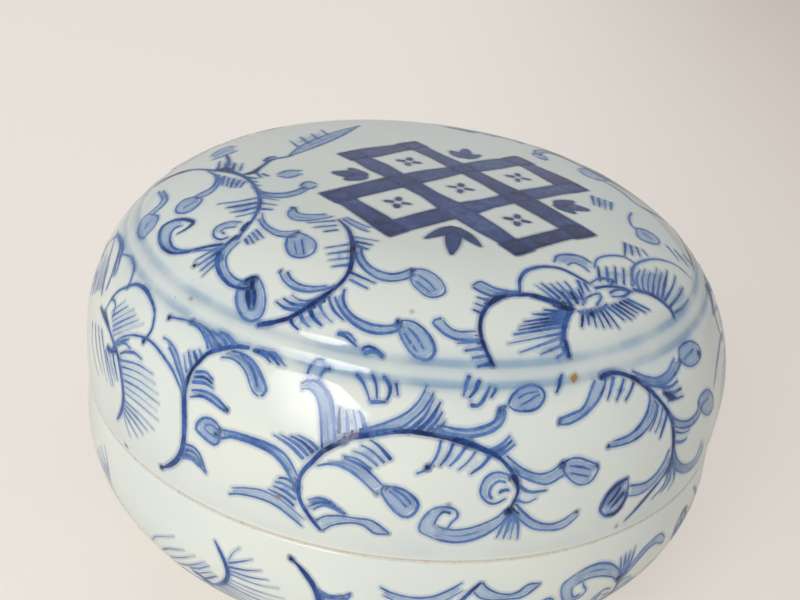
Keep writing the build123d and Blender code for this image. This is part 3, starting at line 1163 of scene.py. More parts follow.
# %% The bloom at the left
half_bloom = paint(
    boughs=[
        [(110, 300), (118, 291), (126, 287), (136, 284), (144, 288), (150, 297), (154, 310), (153, 322),
         (150, 332), (142, 343)],
    ],
    edges=[
        [(113, 345), (120, 338), (130, 335), (142, 337), (152, 343), (163, 356), (172, 370), (178, 383),
         (183, 396)],
        [(117, 345), (124, 343), (130, 349)],
        [(119, 354), (125, 352), (134, 353), (142, 360)],
    ],
    rays=[
        ([(112, 311), (125, 301)], [(115, 335), (142, 324)], 6),
        ([(119, 360), (136, 364), (154, 375)], [(124, 392), (140, 405), (161, 423)], 6),
        ([(124, 400), (140, 415), (155, 431)], [(124, 416), (127, 427), (131, 438)], 5),
    ],
    flicks=[[(113, 345), (122, 341), (129, 339)]],
    touches=[(143, 341)],
)
bloom_heart = paint(
    boughs=[
        [(104, 310), (109, 330), (113, 342), (117, 355), (120, 370), (122, 385), (123, 400), (121, 412),
         (117, 420)],
    ],
    edges=[
        [(101, 296), (106, 270), (112, 247), (117, 231)],
        [(115, 275), (119, 262), (122, 245), (117, 231)],
        [(113, 277), (118, 258), (124, 254), (130, 256)],
        [(126, 290), (131, 279), (133, 267), (130, 256)],
        [(104, 312), (108, 304), (112, 299), (115, 304), (113, 316)],
        [(106, 345), (110, 349), (116, 350)],
    ],
    rays=[
        ([(92, 322), (92, 344), (98, 372)], [(101, 330), (104, 352), (111, 385)], 4),
        ([(105, 350), (108, 364), (113, 384)], [(112, 352), (114, 366), (118, 383)], 3),
    ],
    heaps=[[(100, 306), (104, 316), (108, 328)], [(106, 347), (110, 351), (116, 352)]],
)

# %% The first stem, with its leaves and bud
first_stem = paint(
    stems=[
        [(250, 347), (235, 346), (220, 349), (208, 353), (200, 360), (192, 369), (187, 380), (184, 392),
         (184, 415), (184, 432), (182, 447), (178, 458), (170, 465), (160, 468)],
    ],
    leaves=[
        ([(168, 317), (178, 318), (190, 321), (200, 329), (206, 340), (208, 350)],
         [(190, 320), (205, 327), (213, 337), (218, 347)]),
        ([(162, 337), (170, 342), (176, 352), (180, 365), (183, 378), (185, 392)],
         [(168, 346), (173, 356), (177, 368), (181, 380), (184, 394)]),
        ([(190, 390), (203, 391), (213, 396), (221, 403), (228, 411)],
         [(189, 397), (200, 396), (210, 400), (217, 406), (226, 412)]),
        ([(220, 357), (230, 358), (239, 363), (246, 373), (250, 385), (253, 392), (259, 397)],
         [(232, 350), (245, 355), (255, 364), (262, 378), (266, 390), (260, 397)]),
        ([(184, 444), (193, 447), (200, 455), (206, 473)], [(180, 458), (190, 459), (199, 466), (207, 475)]),
        ([(231, 488), (245, 488), (260, 490), (272, 495), (284, 502), (305, 520)],
         [(228, 494), (240, 494), (258, 498), (275, 505), (290, 516), (303, 527)]),
        ([(221, 430), (235, 433), (250, 438), (265, 443), (278, 450), (288, 459), (299, 479)],
         [(220, 439), (232, 437), (245, 441), (260, 447), (272, 454), (282, 464), (296, 487)]),
    ],
    combs=[
        ([(213, 351), (211, 342), (204, 331)], [(236, 346), (226, 335), (216, 330)], 4),
        ([(186, 372), (183, 352)], [(202, 357), (198, 347)], 4),
        ([(195, 372), (205, 372), (214, 381)], [(192, 382), (204, 383), (213, 389)], 3),
        ([(252, 349), (262, 352), (272, 364)], [(262, 352), (275, 354), (285, 366)], 3),
        ([(184, 450), (193, 452), (202, 464)], [(182, 455), (191, 457), (200, 467)], 2),
        ([(303, 459), (290, 446), (274, 436)], [(318, 450), (309, 441), (297, 435)], 4),
        ([(300, 488), (287, 479), (279, 479)], [(294, 506), (283, 497), (268, 489)], 4),
    ],
    edges=[
        [(240, 353), (248, 362), (254, 374), (257, 388)],
        [(226, 434), (250, 441), (270, 450), (290, 472)],
    ],
    buds=[
        ([(221, 430), (214, 421), (205, 418), (198, 422), (196, 429), (201, 435), (208, 441), (214, 445),
          (219, 441)], [(216, 438), (207, 432), (204, 426), (211, 425), (218, 431)]),
    ],
    touches=[(169, 317), (227, 411), (162, 467), (191, 321), (215, 434)],
)

# %% The second stem, which coils round the middle of the wall
second_stem = paint(
    stems=[
        [(322, 531), (313, 521), (305, 510), (300, 500), (298, 490), (299, 480), (303, 471), (311, 463),
         (322, 452), (335, 445), (348, 439), (360, 436), (385, 432), (400, 431), (415, 432), (445, 437),
         (470, 444), (482, 449), (494, 454), (503, 461), (510, 469), (515, 478), (518, 487), (517, 495),
         (513, 503), (509, 512)],
    ],
    leaves=[
        ([(315, 521), (325, 516), (340, 516), (355, 518), (370, 520), (380, 526), (390, 534)],
         [(322, 531), (330, 526), (342, 523), (355, 523), (365, 526), (375, 533), (390, 534)]),
        ([(343, 457), (362, 466), (371, 474), (379, 482), (385, 488)],
         [(316, 466), (328, 464), (340, 466), (352, 472), (363, 481), (376, 494)]),
        ([(362, 430), (380, 425), (395, 419), (408, 412), (418, 402), (424, 392), (427, 384)],
         [(370, 434), (388, 431), (402, 427), (412, 420), (422, 411), (430, 400), (434, 391)]),
        ([(322, 450), (321, 430), (320, 410), (316, 395), (308, 388), (300, 390)],
         [(335, 446), (334, 430), (333, 412), (330, 398), (322, 385), (310, 380), (300, 384)]),
        ([(434, 430), (450, 434), (470, 436), (485, 434), (497, 428), (504, 419), (506, 409)],
         [(440, 425), (455, 429), (470, 430), (484, 427), (495, 421), (499, 411), (502, 406)]),
        ([(506, 455), (515, 463), (525, 470), (538, 474), (550, 472), (564, 462)],
         [(513, 472), (522, 477), (535, 482), (548, 484), (566, 474)]),
        ([(511, 512), (520, 520), (532, 528), (545, 530), (558, 529), (567, 525), (579, 514)],
         [(515, 503), (523, 512), (533, 520), (545, 524), (556, 523), (566, 518), (576, 511)]),
        ([(510, 513), (500, 524), (488, 533), (474, 539), (460, 542), (446, 541), (434, 538)],
         [(506, 509), (497, 517), (483, 524), (470, 528), (456, 530), (446, 529), (436, 526)]),
        ([(307, 375), (310, 365), (318, 359), (325, 361)], [(318, 382), (322, 372), (328, 366), (331, 370)]),
    ],
    heaps=[
        [(338, 443), (345, 440), (352, 438)],
        [(452, 439), (462, 441), (470, 444), (480, 448)],
        [(512, 474), (516, 480), (518, 487)],
        [(507, 508), (511, 514)],
        [(430, 465), (428, 467), (424, 470)],
    ],
    touches=[(377, 494), (563, 463), (597, 466), (500, 411), (577, 512), (509, 509), (470, 444)],
    washes=[
        ([(446, 541), (434, 538), (425, 534), (419, 530), (422, 520), (431, 510), (442, 507), (453, 509)],
         [(448, 529), (440, 527), (435, 525), (435, 522), (436, 519), (439, 515), (443, 512), (452, 514)]),
        ([(512, 478), (503, 473), (494, 473), (486, 478), (481, 487), (481, 495), (487, 502)],
         [(509, 483), (505, 481), (499, 480), (492, 484), (489, 489), (489, 494), (493, 500)]),
    ],
    combs=[
        ([(331, 503), (320, 498), (306, 500)], [(345, 514), (326, 505), (311, 510)], 4),
        ([(371, 469), (356, 459), (340, 455)], [(391, 460), (380, 447), (370, 440)], 4),
        ([(441, 440), (437, 455), (427, 470)], [(466, 446), (458, 458), (447, 469)], 3),
        ([(476, 451), (468, 462), (457, 471)], [(490, 456), (483, 465), (470, 474)], 2),
        ([(408, 431), (424, 417), (436, 395)], [(436, 431), (443, 424), (447, 418)], 4),
        ([(339, 434), (339, 418), (340, 406)], [(366, 434), (363, 420), (358, 408)], 4),
        ([(486, 452), (500, 446), (512, 434)], [(496, 457), (507, 451), (517, 443)], 3),
        ([(519, 486), (530, 492), (547, 490)], [(515, 499), (526, 503), (540, 498)], 2),
        ([(511, 512), (504, 523), (496, 538)], [(516, 516), (518, 526), (517, 538)], 4),
    ],
    edges=[
        [(434, 538), (425, 534), (419, 530), (422, 520), (431, 510), (442, 507), (454, 509), (458, 516),
         (451, 523), (447, 529)],
        [(434, 526), (436, 519), (443, 512), (452, 514)],
        [(512, 478), (503, 473), (494, 473), (486, 478), (481, 487), (481, 495), (487, 502), (495, 504),
         (507, 498)],
        [(507, 483), (499, 481), (492, 486), (489, 494), (493, 500)],
        [(511, 491), (504, 490), (498, 494)],
        [(415, 474), (424, 471), (432, 464)],
        [(498, 421), (500, 408), (508, 406)],
    ],
    buds=[
        ([(384, 486), (393, 487), (404, 490), (412, 496), (418, 503), (417, 509), (412, 515), (405, 517),
          (398, 514), (391, 507), (385, 499), (381, 491)], [(388, 490), (398, 498), (407, 508)],
         [(392, 488), (404, 496), (412, 505)]),
        ([(508, 405), (512, 396), (520, 388), (532, 385), (541, 387), (545, 394), (543, 402), (536, 409),
          (525, 411), (515, 410)], [(519, 406), (527, 402), (536, 396), (541, 394)],
         [(516, 400), (525, 394), (538, 391)]),
        ([(562, 465), (568, 460), (578, 458), (588, 461), (599, 466), (596, 475), (590, 482), (581, 485),
          (572, 481), (565, 473)], [(569, 466), (580, 467), (592, 470)],
         [(570, 473), (580, 475), (590, 477)]),
    ],
    flicks=[
        [(355, 372), (362, 380), (367, 392), (370, 402)],
        [(371, 373), (376, 383), (377, 400)],
        [(382, 375), (389, 383), (390, 392), (386, 402)],
        [(369, 402), (387, 402)],
        [(396, 381), (398, 397)],
        [(470, 374), (467, 383), (463, 397)],
        [(481, 379), (475, 390), (468, 399)],
        [(469, 403), (475, 406), (482, 402), (491, 384)],
        [(497, 386), (494, 392), (490, 399)],
        [(563, 373), (560, 384), (556, 394)],
    ],
)

# %% The third stem, which curls away at the right
third_stem = paint(
    stems=[
        [(600, 377), (608, 373), (618, 372), (630, 376), (640, 381), (650, 390), (658, 398), (666, 408),
         (672, 420), (674, 433), (674, 445), (672, 457), (668, 468), (662, 478), (652, 490), (642, 502),
         (632, 513), (624, 521)],
    ],
    leaves=[
        ([(596, 378), (592, 388), (588, 400), (581, 410), (570, 415), (558, 420)],
         [(606, 377), (604, 388), (598, 400), (590, 410), (580, 418), (568, 424), (557, 424)]),
        ([(650, 392), (650, 403), (646, 416), (638, 428), (628, 436), (612, 442)],
         [(657, 402), (655, 415), (648, 428), (638, 438), (625, 444), (606, 448)]),
        ([(632, 370), (645, 376), (657, 378), (667, 372), (675, 357)],
         [(640, 382), (655, 386), (668, 382), (677, 372), (682, 360)]),
        ([(670, 415), (680, 421), (690, 420), (697, 412), (699, 402)],
         [(672, 425), (682, 428), (692, 425), (700, 415), (703, 404)]),
        ([(630, 486), (645, 483), (657, 473), (665, 460), (670, 448)],
         [(627, 496), (640, 494), (652, 485), (664, 470), (671, 456)]),
        ([(674, 448), (678, 460), (684, 465), (692, 462), (698, 452), (702, 440)],
         [(671, 458), (677, 470), (686, 472), (695, 465), (701, 454), (704, 442)]),
    ],
    combs=[
        ([(614, 376), (611, 389), (607, 402)], [(634, 381), (631, 391), (626, 400)], 3),
        ([(658, 404), (656, 418), (650, 431)], [(668, 412), (665, 424), (660, 438)], 3),
        ([(658, 386), (670, 387), (680, 380)], [(668, 400), (676, 399), (683, 396)], 3),
        ([(676, 432), (683, 433), (691, 430)], [(676, 442), (682, 442), (688, 438)], 2),
        ([(668, 470), (664, 484), (652, 498)], [(672, 462), (674, 478), (668, 488)], 3),
    ],
    buds=[
        ([(680, 361), (679, 350), (684, 343), (692, 341), (699, 346), (701, 354), (697, 363), (689, 366)],
         [(684, 360), (689, 354), (694, 348)]),
        ([(698, 402), (702, 394), (708, 390), (713, 396), (713, 408), (708, 415), (702, 411)],
         [(702, 404), (706, 401), (709, 397)]),
        ([(628, 477), (618, 484), (608, 493), (601, 504), (601, 512), (607, 516), (616, 512), (623, 503),
          (628, 490)], [(623, 483), (614, 492), (606, 503)], [(625, 490), (617, 499), (609, 510)]),
    ],
    heaps=[
        [(629, 478), (617, 485), (607, 496), (600, 510)],
        [(622, 486), (615, 496), (607, 506)],
        [(625, 491), (618, 500), (611, 507)],
        [(605, 515), (615, 513), (623, 503), (627, 493)],
        [(599, 378), (606, 375), (616, 372)],
        [(664, 392), (670, 396), (677, 398)],
    ],
    touches=[(560, 422), (609, 446), (699, 353)],
)

# %% [markdown]
# ### The dome
# The dome carries a second bloom at the right, a coil at the left, and leaves that reach towards the
# medallion in the middle.

# %% The coil at the left of the dome
dome_coil = paint(
    stems=[
        [(255, 324), (273, 322), (292, 316), (311, 304), (330, 291), (342, 281), (350, 268), (353, 252),
         (352, 239), (348, 228), (338, 218)],
    ],
    heaps=[
        [(306, 308), (316, 301), (326, 294), (334, 288)],
        [(244, 281), (251, 277), (258, 276)],
        [(252, 277), (252, 283), (251, 290)],
        [(241, 232), (245, 226), (249, 221)],
        [(247, 288), (248, 299), (249, 310)],
        [(254, 288), (254, 299), (253, 310)],
    ],
    boughs=[
        [(247, 225), (242, 232), (236, 240)],
        [(243, 230), (252, 220), (258, 210), (260, 201), (258, 191), (252, 182), (242, 175), (227, 171),
         (212, 170), (196, 169), (177, 173), (158, 184), (145, 193)],
        [(239, 234), (227, 243), (219, 252), (217, 264), (221, 275), (231, 285), (244, 288), (252, 286)],
        [(224, 243), (202, 247), (183, 252), (170, 252), (161, 245), (159, 235), (163, 226), (174, 220),
         (185, 219), (193, 222), (187, 228), (176, 234)],
    ],
    leaves=[
        ([(252, 186), (262, 191), (277, 193), (292, 191), (306, 186)],
         [(256, 190), (265, 195), (280, 197), (297, 194), (309, 188)]),
        ([(300, 186), (304, 182), (311, 181), (317, 184)], [(300, 187), (305, 188), (311, 188), (317, 185)]),
        ([(262, 212), (264, 220), (271, 227), (283, 231), (298, 230)],
         [(258, 218), (264, 227), (275, 234), (286, 236), (297, 236)]),
        ([(293, 207), (288, 212), (292, 218), (304, 220), (321, 218), (334, 215)],
         [(295, 206), (298, 212), (311, 214), (327, 213)]),
        ([(279, 270), (283, 279), (292, 287), (307, 291), (323, 289), (336, 284)],
         [(287, 270), (291, 278), (300, 284), (313, 286), (328, 285)]),
        ([(334, 295), (340, 308), (350, 320), (363, 329), (378, 333), (395, 331), (403, 325)],
         [(345, 287), (343, 298), (348, 310), (359, 319), (376, 325), (393, 325), (398, 319)]),
        ([(361, 245), (363, 256), (371, 266), (384, 272), (397, 273), (412, 268)],
         [(355, 251), (359, 262), (371, 274), (386, 280), (403, 279), (414, 274)]),
        ([(342, 217), (351, 223), (361, 228), (370, 231)], [(346, 216), (354, 220), (363, 224), (371, 227)]),
        ([(208, 171), (216, 176), (212, 187), (193, 197)], [(218, 174), (220, 182), (210, 193), (197, 198)]),
        ([(158, 191), (162, 199), (156, 207), (148, 214)], [(163, 190), (167, 199), (160, 208), (151, 215)]),
    ],
    edges=[
        [(226, 245), (212, 249), (193, 250), (177, 249), (171, 244), (170, 235), (175, 228), (183, 225)],
        [(242, 222), (233, 221), (221, 224), (214, 229), (214, 236), (221, 239), (229, 236)],
        [(237, 226), (227, 227), (221, 230), (225, 234)],
        [(240, 241), (231, 249), (226, 258), (228, 270), (237, 279), (250, 281), (257, 277)],
    ],
    combs=[
        ([(220, 246), (195, 260)], [(222, 258), (199, 278)], 4),
        ([(261, 197), (238, 201), (216, 204)], [(257, 211), (246, 214), (236, 216)], 4),
        ([(262, 197), (281, 200)], [(261, 208), (273, 209)], 3),
        ([(245, 238), (249, 245)], [(256, 229), (264, 238)], 4),
        ([(352, 243), (326, 247)], [(349, 264), (330, 266)], 4),
        ([(355, 236), (378, 240)], [(355, 245), (371, 249)], 3),
        ([(334, 220), (307, 222)], [(338, 229), (322, 231)], 3),
        ([(351, 272), (376, 283)], [(350, 279), (368, 288)], 2),
        ([(321, 298), (302, 300), (290, 294)], [(300, 309), (286, 308), (277, 301)], 3),
        ([(290, 318), (293, 325), (300, 331)], [(328, 296), (334, 310), (345, 321)], 5),
        ([(224, 176), (222, 186)], [(245, 181), (239, 188)], 5),
    ],
    buds=[
        ([(252, 276), (245, 279), (239, 285), (236, 298), (239, 312), (246, 319), (254, 320), (262, 314),
          (265, 300), (263, 287), (258, 277)], [(248, 284), (249, 308)], [(254, 284), (253, 308)]),
        ([(288, 236), (286, 245), (290, 254), (302, 257), (313, 252), (316, 243), (309, 236), (298, 232)],
         [(294, 240), (297, 254)], [(302, 238), (304, 254)]),
        ([(400, 320), (412, 321), (423, 328), (431, 338), (435, 350), (431, 358), (422, 359), (412, 354),
          (404, 342), (399, 330)], [(407, 326), (417, 337), (424, 350)],
         [(404, 332), (411, 343), (417, 352)]),
        ([(413, 268), (425, 269), (436, 275), (444, 284), (445, 292), (438, 296), (428, 296), (418, 289),
          (411, 280)], [(418, 274), (428, 281), (436, 290)], [(416, 280), (424, 287), (431, 292)]),
        ([(196, 197), (185, 199), (177, 206), (177, 212), (187, 212), (197, 206), (202, 199)],
         [(197, 200), (183, 208)]),
        ([(149, 214), (140, 220), (137, 230), (140, 237), (147, 234), (154, 226), (158, 216)],
         [(151, 219), (143, 230)]),
    ],
    touches=[(281, 270), (398, 321), (298, 231), (194, 265), (292, 207), (258, 323), (412, 270)],
    washes=[
        ([(202, 247), (183, 252), (170, 252), (161, 245), (159, 235), (163, 226), (174, 220), (185, 219)],
         [(202, 249), (193, 250), (179, 249), (172, 244), (170, 237), (173, 230), (178, 227), (184, 225)]),
        ([(239, 234), (227, 243), (219, 252), (217, 264), (221, 275), (231, 285), (244, 288)],
         [(241, 240), (231, 249), (226, 258), (228, 270), (233, 276), (240, 280), (248, 281)]),
        ([(242, 222), (233, 221), (221, 224), (214, 229), (214, 236)],
         [(239, 226), (233, 225), (226, 227), (222, 230), (222, 234)]),
    ],
    flicks=[
        [(336, 333), (345, 336), (358, 348)],
        [(338, 333), (349, 333), (356, 342)],
        [(360, 350), (370, 346), (385, 356)],
        [(362, 353), (374, 351), (384, 358)],
    ],
)

# %% The bloom at the right of the dome
right_bloom = paint(
    stems=[
        [(495, 367), (487, 352), (481, 335), (481, 318), (489, 304), (502, 296), (520, 294), (535, 295),
         (550, 300), (564, 304)],
        [(571, 358), (565, 346), (564, 331), (567, 318), (573, 308)],
    ],
    boughs=[
        [(520, 293), (520, 279), (527, 270), (542, 266), (560, 268), (579, 277), (592, 285)],
        [(632, 289), (648, 293), (661, 300), (671, 310), (677, 319)],
        [(594, 288), (606, 286), (620, 287), (634, 292)],
    ],
    leaves=[
        ([(472, 285), (481, 281), (493, 287), (510, 291), (520, 291)],
         [(472, 286), (485, 293), (497, 296), (508, 295)]),
        ([(443, 317), (433, 321), (439, 329), (451, 337), (466, 340), (479, 339)],
         [(443, 319), (447, 325), (458, 331), (477, 331)]),
        ([(554, 262), (558, 255), (571, 254), (583, 257), (592, 263)],
         [(567, 265), (573, 262), (583, 266), (590, 272)]),
    ],
    edges=[
        [(594, 268), (598, 258), (611, 255), (625, 257), (636, 264)],
        [(636, 285), (632, 274), (636, 264), (650, 259), (663, 260), (678, 266), (692, 279)],
        [(583, 306), (586, 298), (598, 293), (602, 296), (596, 306)],
        [(609, 293), (619, 289), (630, 291), (623, 296), (611, 296)],
        [(590, 283), (600, 278), (614, 280), (610, 285)],
        [(576, 310), (586, 313), (600, 310), (608, 303)],
    ],
    combs=[
        ([(564, 326), (516, 334)], [(562, 333), (510, 343)], 2),
        ([(562, 337), (521, 352)], [(566, 352), (557, 358)], 3),
        ([(554, 298), (533, 283)], [(579, 298), (565, 281)], 5),
        ([(600, 280), (598, 265)], [(632, 285), (632, 268)], 5),
        ([(640, 290), (637, 279), (640, 269)], [(662, 298), (665, 284), (668, 269)], 6),
        ([(665, 300), (672, 288), (676, 275)], [(675, 313), (684, 307), (691, 298)], 3),
        ([(482, 340), (458, 343)], [(491, 363), (476, 366)], 4),
        ([(489, 300), (475, 296)], [(484, 314), (473, 309)], 3),
    ],
    fans=[
        ([(567, 310), (552, 304)], [(565, 314), (531, 314)], 3),
        ([(565, 316), (526, 321)], [(563, 322), (518, 330)], 3),
        ([(562, 305), (532, 296)], [(566, 307), (546, 298)], 2),
        ([(583, 311), (582, 327)], [(604, 308), (620, 329)], 6),
        ([(608, 307), (627, 322)], [(628, 299), (650, 310)], 6),
        ([(572, 306), (562, 292)], [(584, 301), (578, 288)], 3),
    ],
    heaps=[
        [(488, 305), (497, 298), (508, 295)],
        [(560, 306), (568, 308), (576, 309)],
        [(565, 338), (567, 348), (571, 357)],
        [(590, 311), (594, 317)],
    ],
    flicks=[[(577, 279), (584, 294)], [(583, 281), (590, 292)]],
)

# %% Leaves at the right edge of the dome
dome_edge = paint(
    boughs=[
        [(596, 178), (608, 183), (621, 191), (636, 203), (648, 210), (662, 218), (674, 228), (684, 243),
         (691, 258), (696, 272)],
    ],
    leaves=[
        ([(578, 168), (588, 169), (600, 174), (614, 181)], [(578, 169), (586, 175), (600, 180), (614, 181)]),
    ],
    edges=[[(632, 212), (629, 218), (632, 226), (638, 230)]],
    combs=[
        ([(625, 243), (625, 256)], [(642, 249), (648, 256)], 4),
        ([(592, 196), (594, 205)], [(611, 202), (611, 211)], 4),
        ([(667, 246), (680, 262)], [(684, 255), (698, 272)], 3),
    ],
    buds=[
        ([(636, 228), (646, 230), (657, 237), (659, 243), (650, 243), (638, 237)], [(642, 232), (652, 239)]),
    ],
)

# %% Leaves at the back of the dome
dome_back = paint(
    leaves=[
        ([(288, 156), (302, 145), (330, 133), (360, 125)], [(288, 156), (311, 148), (338, 137), (360, 125)]),
        ([(277, 174), (288, 170), (303, 170)], [(277, 175), (289, 177), (303, 173)]),
        ([(210, 156), (218, 150), (228, 146), (236, 146)], [(211, 160), (220, 157), (230, 153), (238, 150)]),
    ],
    boughs=[
        [(242, 174), (252, 172), (262, 166), (272, 159), (288, 156)],
        [(264, 161), (270, 157), (277, 156)],
        [(226, 168), (229, 161), (226, 154)],
    ],
    heaps=[
        [(150, 188), (162, 180), (176, 174), (190, 170)],
        [(214, 169), (228, 170), (240, 174)],
        [(246, 174), (254, 172), (260, 168)],
    ],
    combs=[
        ([(218, 168), (220, 160)], [(240, 170), (243, 162)], 4),
        ([(247, 177), (257, 178)], [(252, 185), (262, 185)], 3),
        ([(262, 173), (270, 176)], [(256, 172), (262, 178)], 2),
        ([(299, 147), (290, 140)], [(328, 134), (321, 129)], 4),
    ],
)

# %% [markdown]
# ### Round the back
# Only the front of the lid shows in the photograph. The scroll goes on round the wall with the same
# parts in the same order, the hidden half of the bloom mirrors the half that shows, and the dome's
# coil and bloom come once more behind the medallion. The base takes the wall's scroll turned over
# below the joint, as the two halves of such boxes usually match.

# %% Repeats of the scroll
BLOOM_AXIS = math.radians(-152)
WALL_TURN_ON = math.radians(154)
WALL_FILL = math.radians(234)
DOME_TURN_ON = math.radians(192)
DOME_GATHER = 0.79
BASE_TURN = math.radians(24)
BASE_STRETCH = 1.06


def moved_by(turn=0.0, mirror=None, gather=1.0, start=0.0, skin=lid_skin):
    """A move along a skin: round the axis, mirrored in a bearing, or gathered towards a start."""

    def move(places):
        angle, along = lid_skin.find(places.reshape(-1, 3))
        if mirror is not None:
            angle = 2 * mirror - angle
        return skin.place(angle + turn, start + (along - start) * gather)[0].reshape(places.shape)

    return move


left_bloom = half_bloom + bloom_heart + half_bloom.moved(moved_by(mirror=BLOOM_AXIS))
wall_run = left_bloom + first_stem + second_stem + third_stem
wall = wall_run + wall_run.moved(moved_by(WALL_TURN_ON)) + second_stem.moved(moved_by(WALL_FILL))
dome_run = dome_coil + right_bloom
dome_behind = dome_run.moved(moved_by(DOME_TURN_ON, gather=DOME_GATHER, start=RIDGE_ALONG))
dome = dome_run + dome_edge + dome_back + dome_behind
below = wall.moved(moved_by(BASE_TURN, gather=BASE_STRETCH, skin=base_skin))
lay(wall, "wall_scroll", lid_skin, lid, "lid")
lay(dome, "dome_scroll", lid_skin, lid, "lid")
lay(below, "base_scroll", base_skin, base, "base")

# %% [markdown]
# ## The medallion
# The middle of the dome carries a bold geometric figure in dark cobalt, drawn with a flat brush
# whose bars darken where they cross. Its grey cast is painted reflection, the pale sky that the dome
# shows at a grazing angle; its darkness is the heavy cobalt's own. Here it is a plain ornament: four
# hollow squares that share corners round a fifth opening, with a floret in each opening and a sprig of
# three petals in every notch. Four long bars and four short ones draw all the squares, so no bar lies
# over another for longer than a crossing. Its places are millimetres from its own middle.

# %% The medallion's sizes and strokes
MEDALLION_MIDDLE = (5.0 * MM, -4.4 * MM)
MEDALLION_TURN = math.radians(43)
SQUARE_HALF = 5.7
BAR_WIDTH, BAR_TONE, BAR_LOAD = 3.8, 0.60, (0.9, 1.15)
BAR_PLACES = 6
CROSSING_WIDTH, CROSSING_TONE, CROSSING_SOFT = 3.7, 0.70, 0.75 * MM
DAB_HALF = 0.02
DIAGONALS = (45, 135, 225, 315)
PETAL_LOAD = (0.9, 1.2)
FLORET_START, FLORET_LENGTH, FLORET_WIDTH = 0.35, 1.7, 1.25
SPRIG_START, SPRIG_LENGTHS, SPRIG_WIDTH = 13.2, (5.2, 5.2, 8.0, 5.2), 2.8
SPRIG_LEAN, SIDE_LENGTH, SIDE_WIDTH = 38, 0.75, 0.8
medallion = Painting()


def on_dome(places):
    """Places on the dome from millimetres along the medallion's own two axes."""
    places = np.array(places, float) * MM
    cos, sin = math.cos(MEDALLION_TURN), math.sin(MEDALLION_TURN)
    x = MEDALLION_MIDDLE[0] + places[:, 0] * cos - places[:, 1] * sin
    y = MEDALLION_MIDDLE[1] + places[:, 0] * sin + places[:, 1] * cos
    radius = lid_skin.outline[::-1, 0]
    along = np.interp(np.hypot(x, y), radius, lid_skin.along[::-1])
    return lid_skin.place(np.arctan2(y, x), along)[0]


def bar(start, stop, width=BAR_WIDTH, tone=BAR_TONE, layer="line", soft=LINE_SOFT):
    """A flat brush pulled straight, its ends squared off half a width past the places."""
    start, stop = np.array(start, float), np.array(stop, float)
    past = (stop - start) / np.linalg.norm(stop - start) * width / 2
    line = np.linspace(start - past, stop + past, BAR_PLACES)
    medallion.stroke(on_dome(line), width, tone * luck.uniform(*BAR_LOAD), even_pressure, layer, soft)


def towards(bearing):
    """One millimetre along a bearing in degrees."""
    return np.array([math.cos(math.radians(bearing)), math.sin(math.radians(bearing))])


def petal(root, bearing, length, width):
    """One pressed petal from a point, along a bearing in degrees."""
    way = towards(bearing)
    places = [root, root + way * length / 2, root + way * length]
    medallion.stroke(on_dome(places), width, BAR_TONE * luck.uniform(*PETAL_LOAD), petal_pressure)


def floret(middle):
    """Four short petals round a point."""
    for bearing in DIAGONALS:
        petal(middle + towards(bearing) * FLORET_START, bearing, FLORET_LENGTH, FLORET_WIDTH)


# %% Squares that share corners
lines = (-3 * SQUARE_HALF, -SQUARE_HALF, SQUARE_HALF, 3 * SQUARE_HALF)
for level in lines:
    end = 4 * SQUARE_HALF - abs(level)
    bar((-end, level), (end, level))
    bar((level, -end), (level, end))
crossings = [(x, y) for x in lines for y in lines if min(abs(x), abs(y)) == SQUARE_HALF]
for x, y in crossings:
    bar((x - DAB_HALF, y), (x + DAB_HALF, y), CROSSING_WIDTH, CROSSING_TONE, "heap", CROSSING_SOFT)
for way in ((1, 0), (0, 1), (-1, 0), (0, -1)):
    floret(np.array(way) * 2 * SQUARE_HALF)
for bearing, length in zip(DIAGONALS, SPRIG_LENGTHS):
    root = towards(bearing) * SPRIG_START
    petal(root, bearing, length, SPRIG_WIDTH)
    petal(root, bearing - SPRIG_LEAN, length * SIDE_LENGTH, SPRIG_WIDTH * SIDE_WIDTH)
    petal(root, bearing + SPRIG_LEAN, length * SIDE_LENGTH, SPRIG_WIDTH * SIDE_WIDTH)
floret(np.zeros(2))
lay(medallion, "medallion", lid_skin, lid, "lid", SKY_GREYED_COBALT, bristles=9)

# %% [markdown]
# ## Spots from the firing
# A few iron spots and pinholes are part of this box's face, so they go where they are.

# %% Iron spots
IRON_STOPS = (
    (0.00, (0.560, 0.330, 0.090)),
    (0.25, (0.420, 0.210, 0.045)),
    (0.50, (0.130, 0.060, 0.025)),
    (1.00, (0.010, 0.010, 0.014)),
)
SPOTS = {
    "ochre by the moulding": ((572, 381), (578, 374), 1.00, 0.30),
    "brown by the mouth": ((125, 444), (128, 449), 1.00, 0.62),
    "speck over the curl": ((448, 503), (450, 506), 0.50, 0.60),
    "speck at the left": ((190, 297), (191, 299), 0.40, 0.70),
    "speck on the leaf": ((277, 495), (280, 498), 0.55, 0.45),
    "speck at the rim": ((615, 525), (617, 527), 0.45, 0.60),
    "speck on the dome": ((411, 310), (413, 312), 0.40, 0.60),
    "pit on the stem": ((344, 440), (347, 443), 0.55, 1.30),
    "pit by the stem": ((353, 433), (355, 436), 0.45, 1.30),
}
IRON_SPOTS = cobalt("iron_spots", IRON_STOPS)
spots = Painting()
for start, stop, width, tone in SPOTS.values():
    spots.stroke(seen([start, stop]), width, tone, even_pressure)
lay(spots, "iron_spots", lid_skin, lid, "lid", IRON_SPOTS)

# %% [markdown]
# ## The paste
# Seal paste is ground cinnabar worked into castor oil and plant fibre. It lies in the bowl as a soft
# mound, glossy with oil, with the dents that seals and the spatula leave in it.

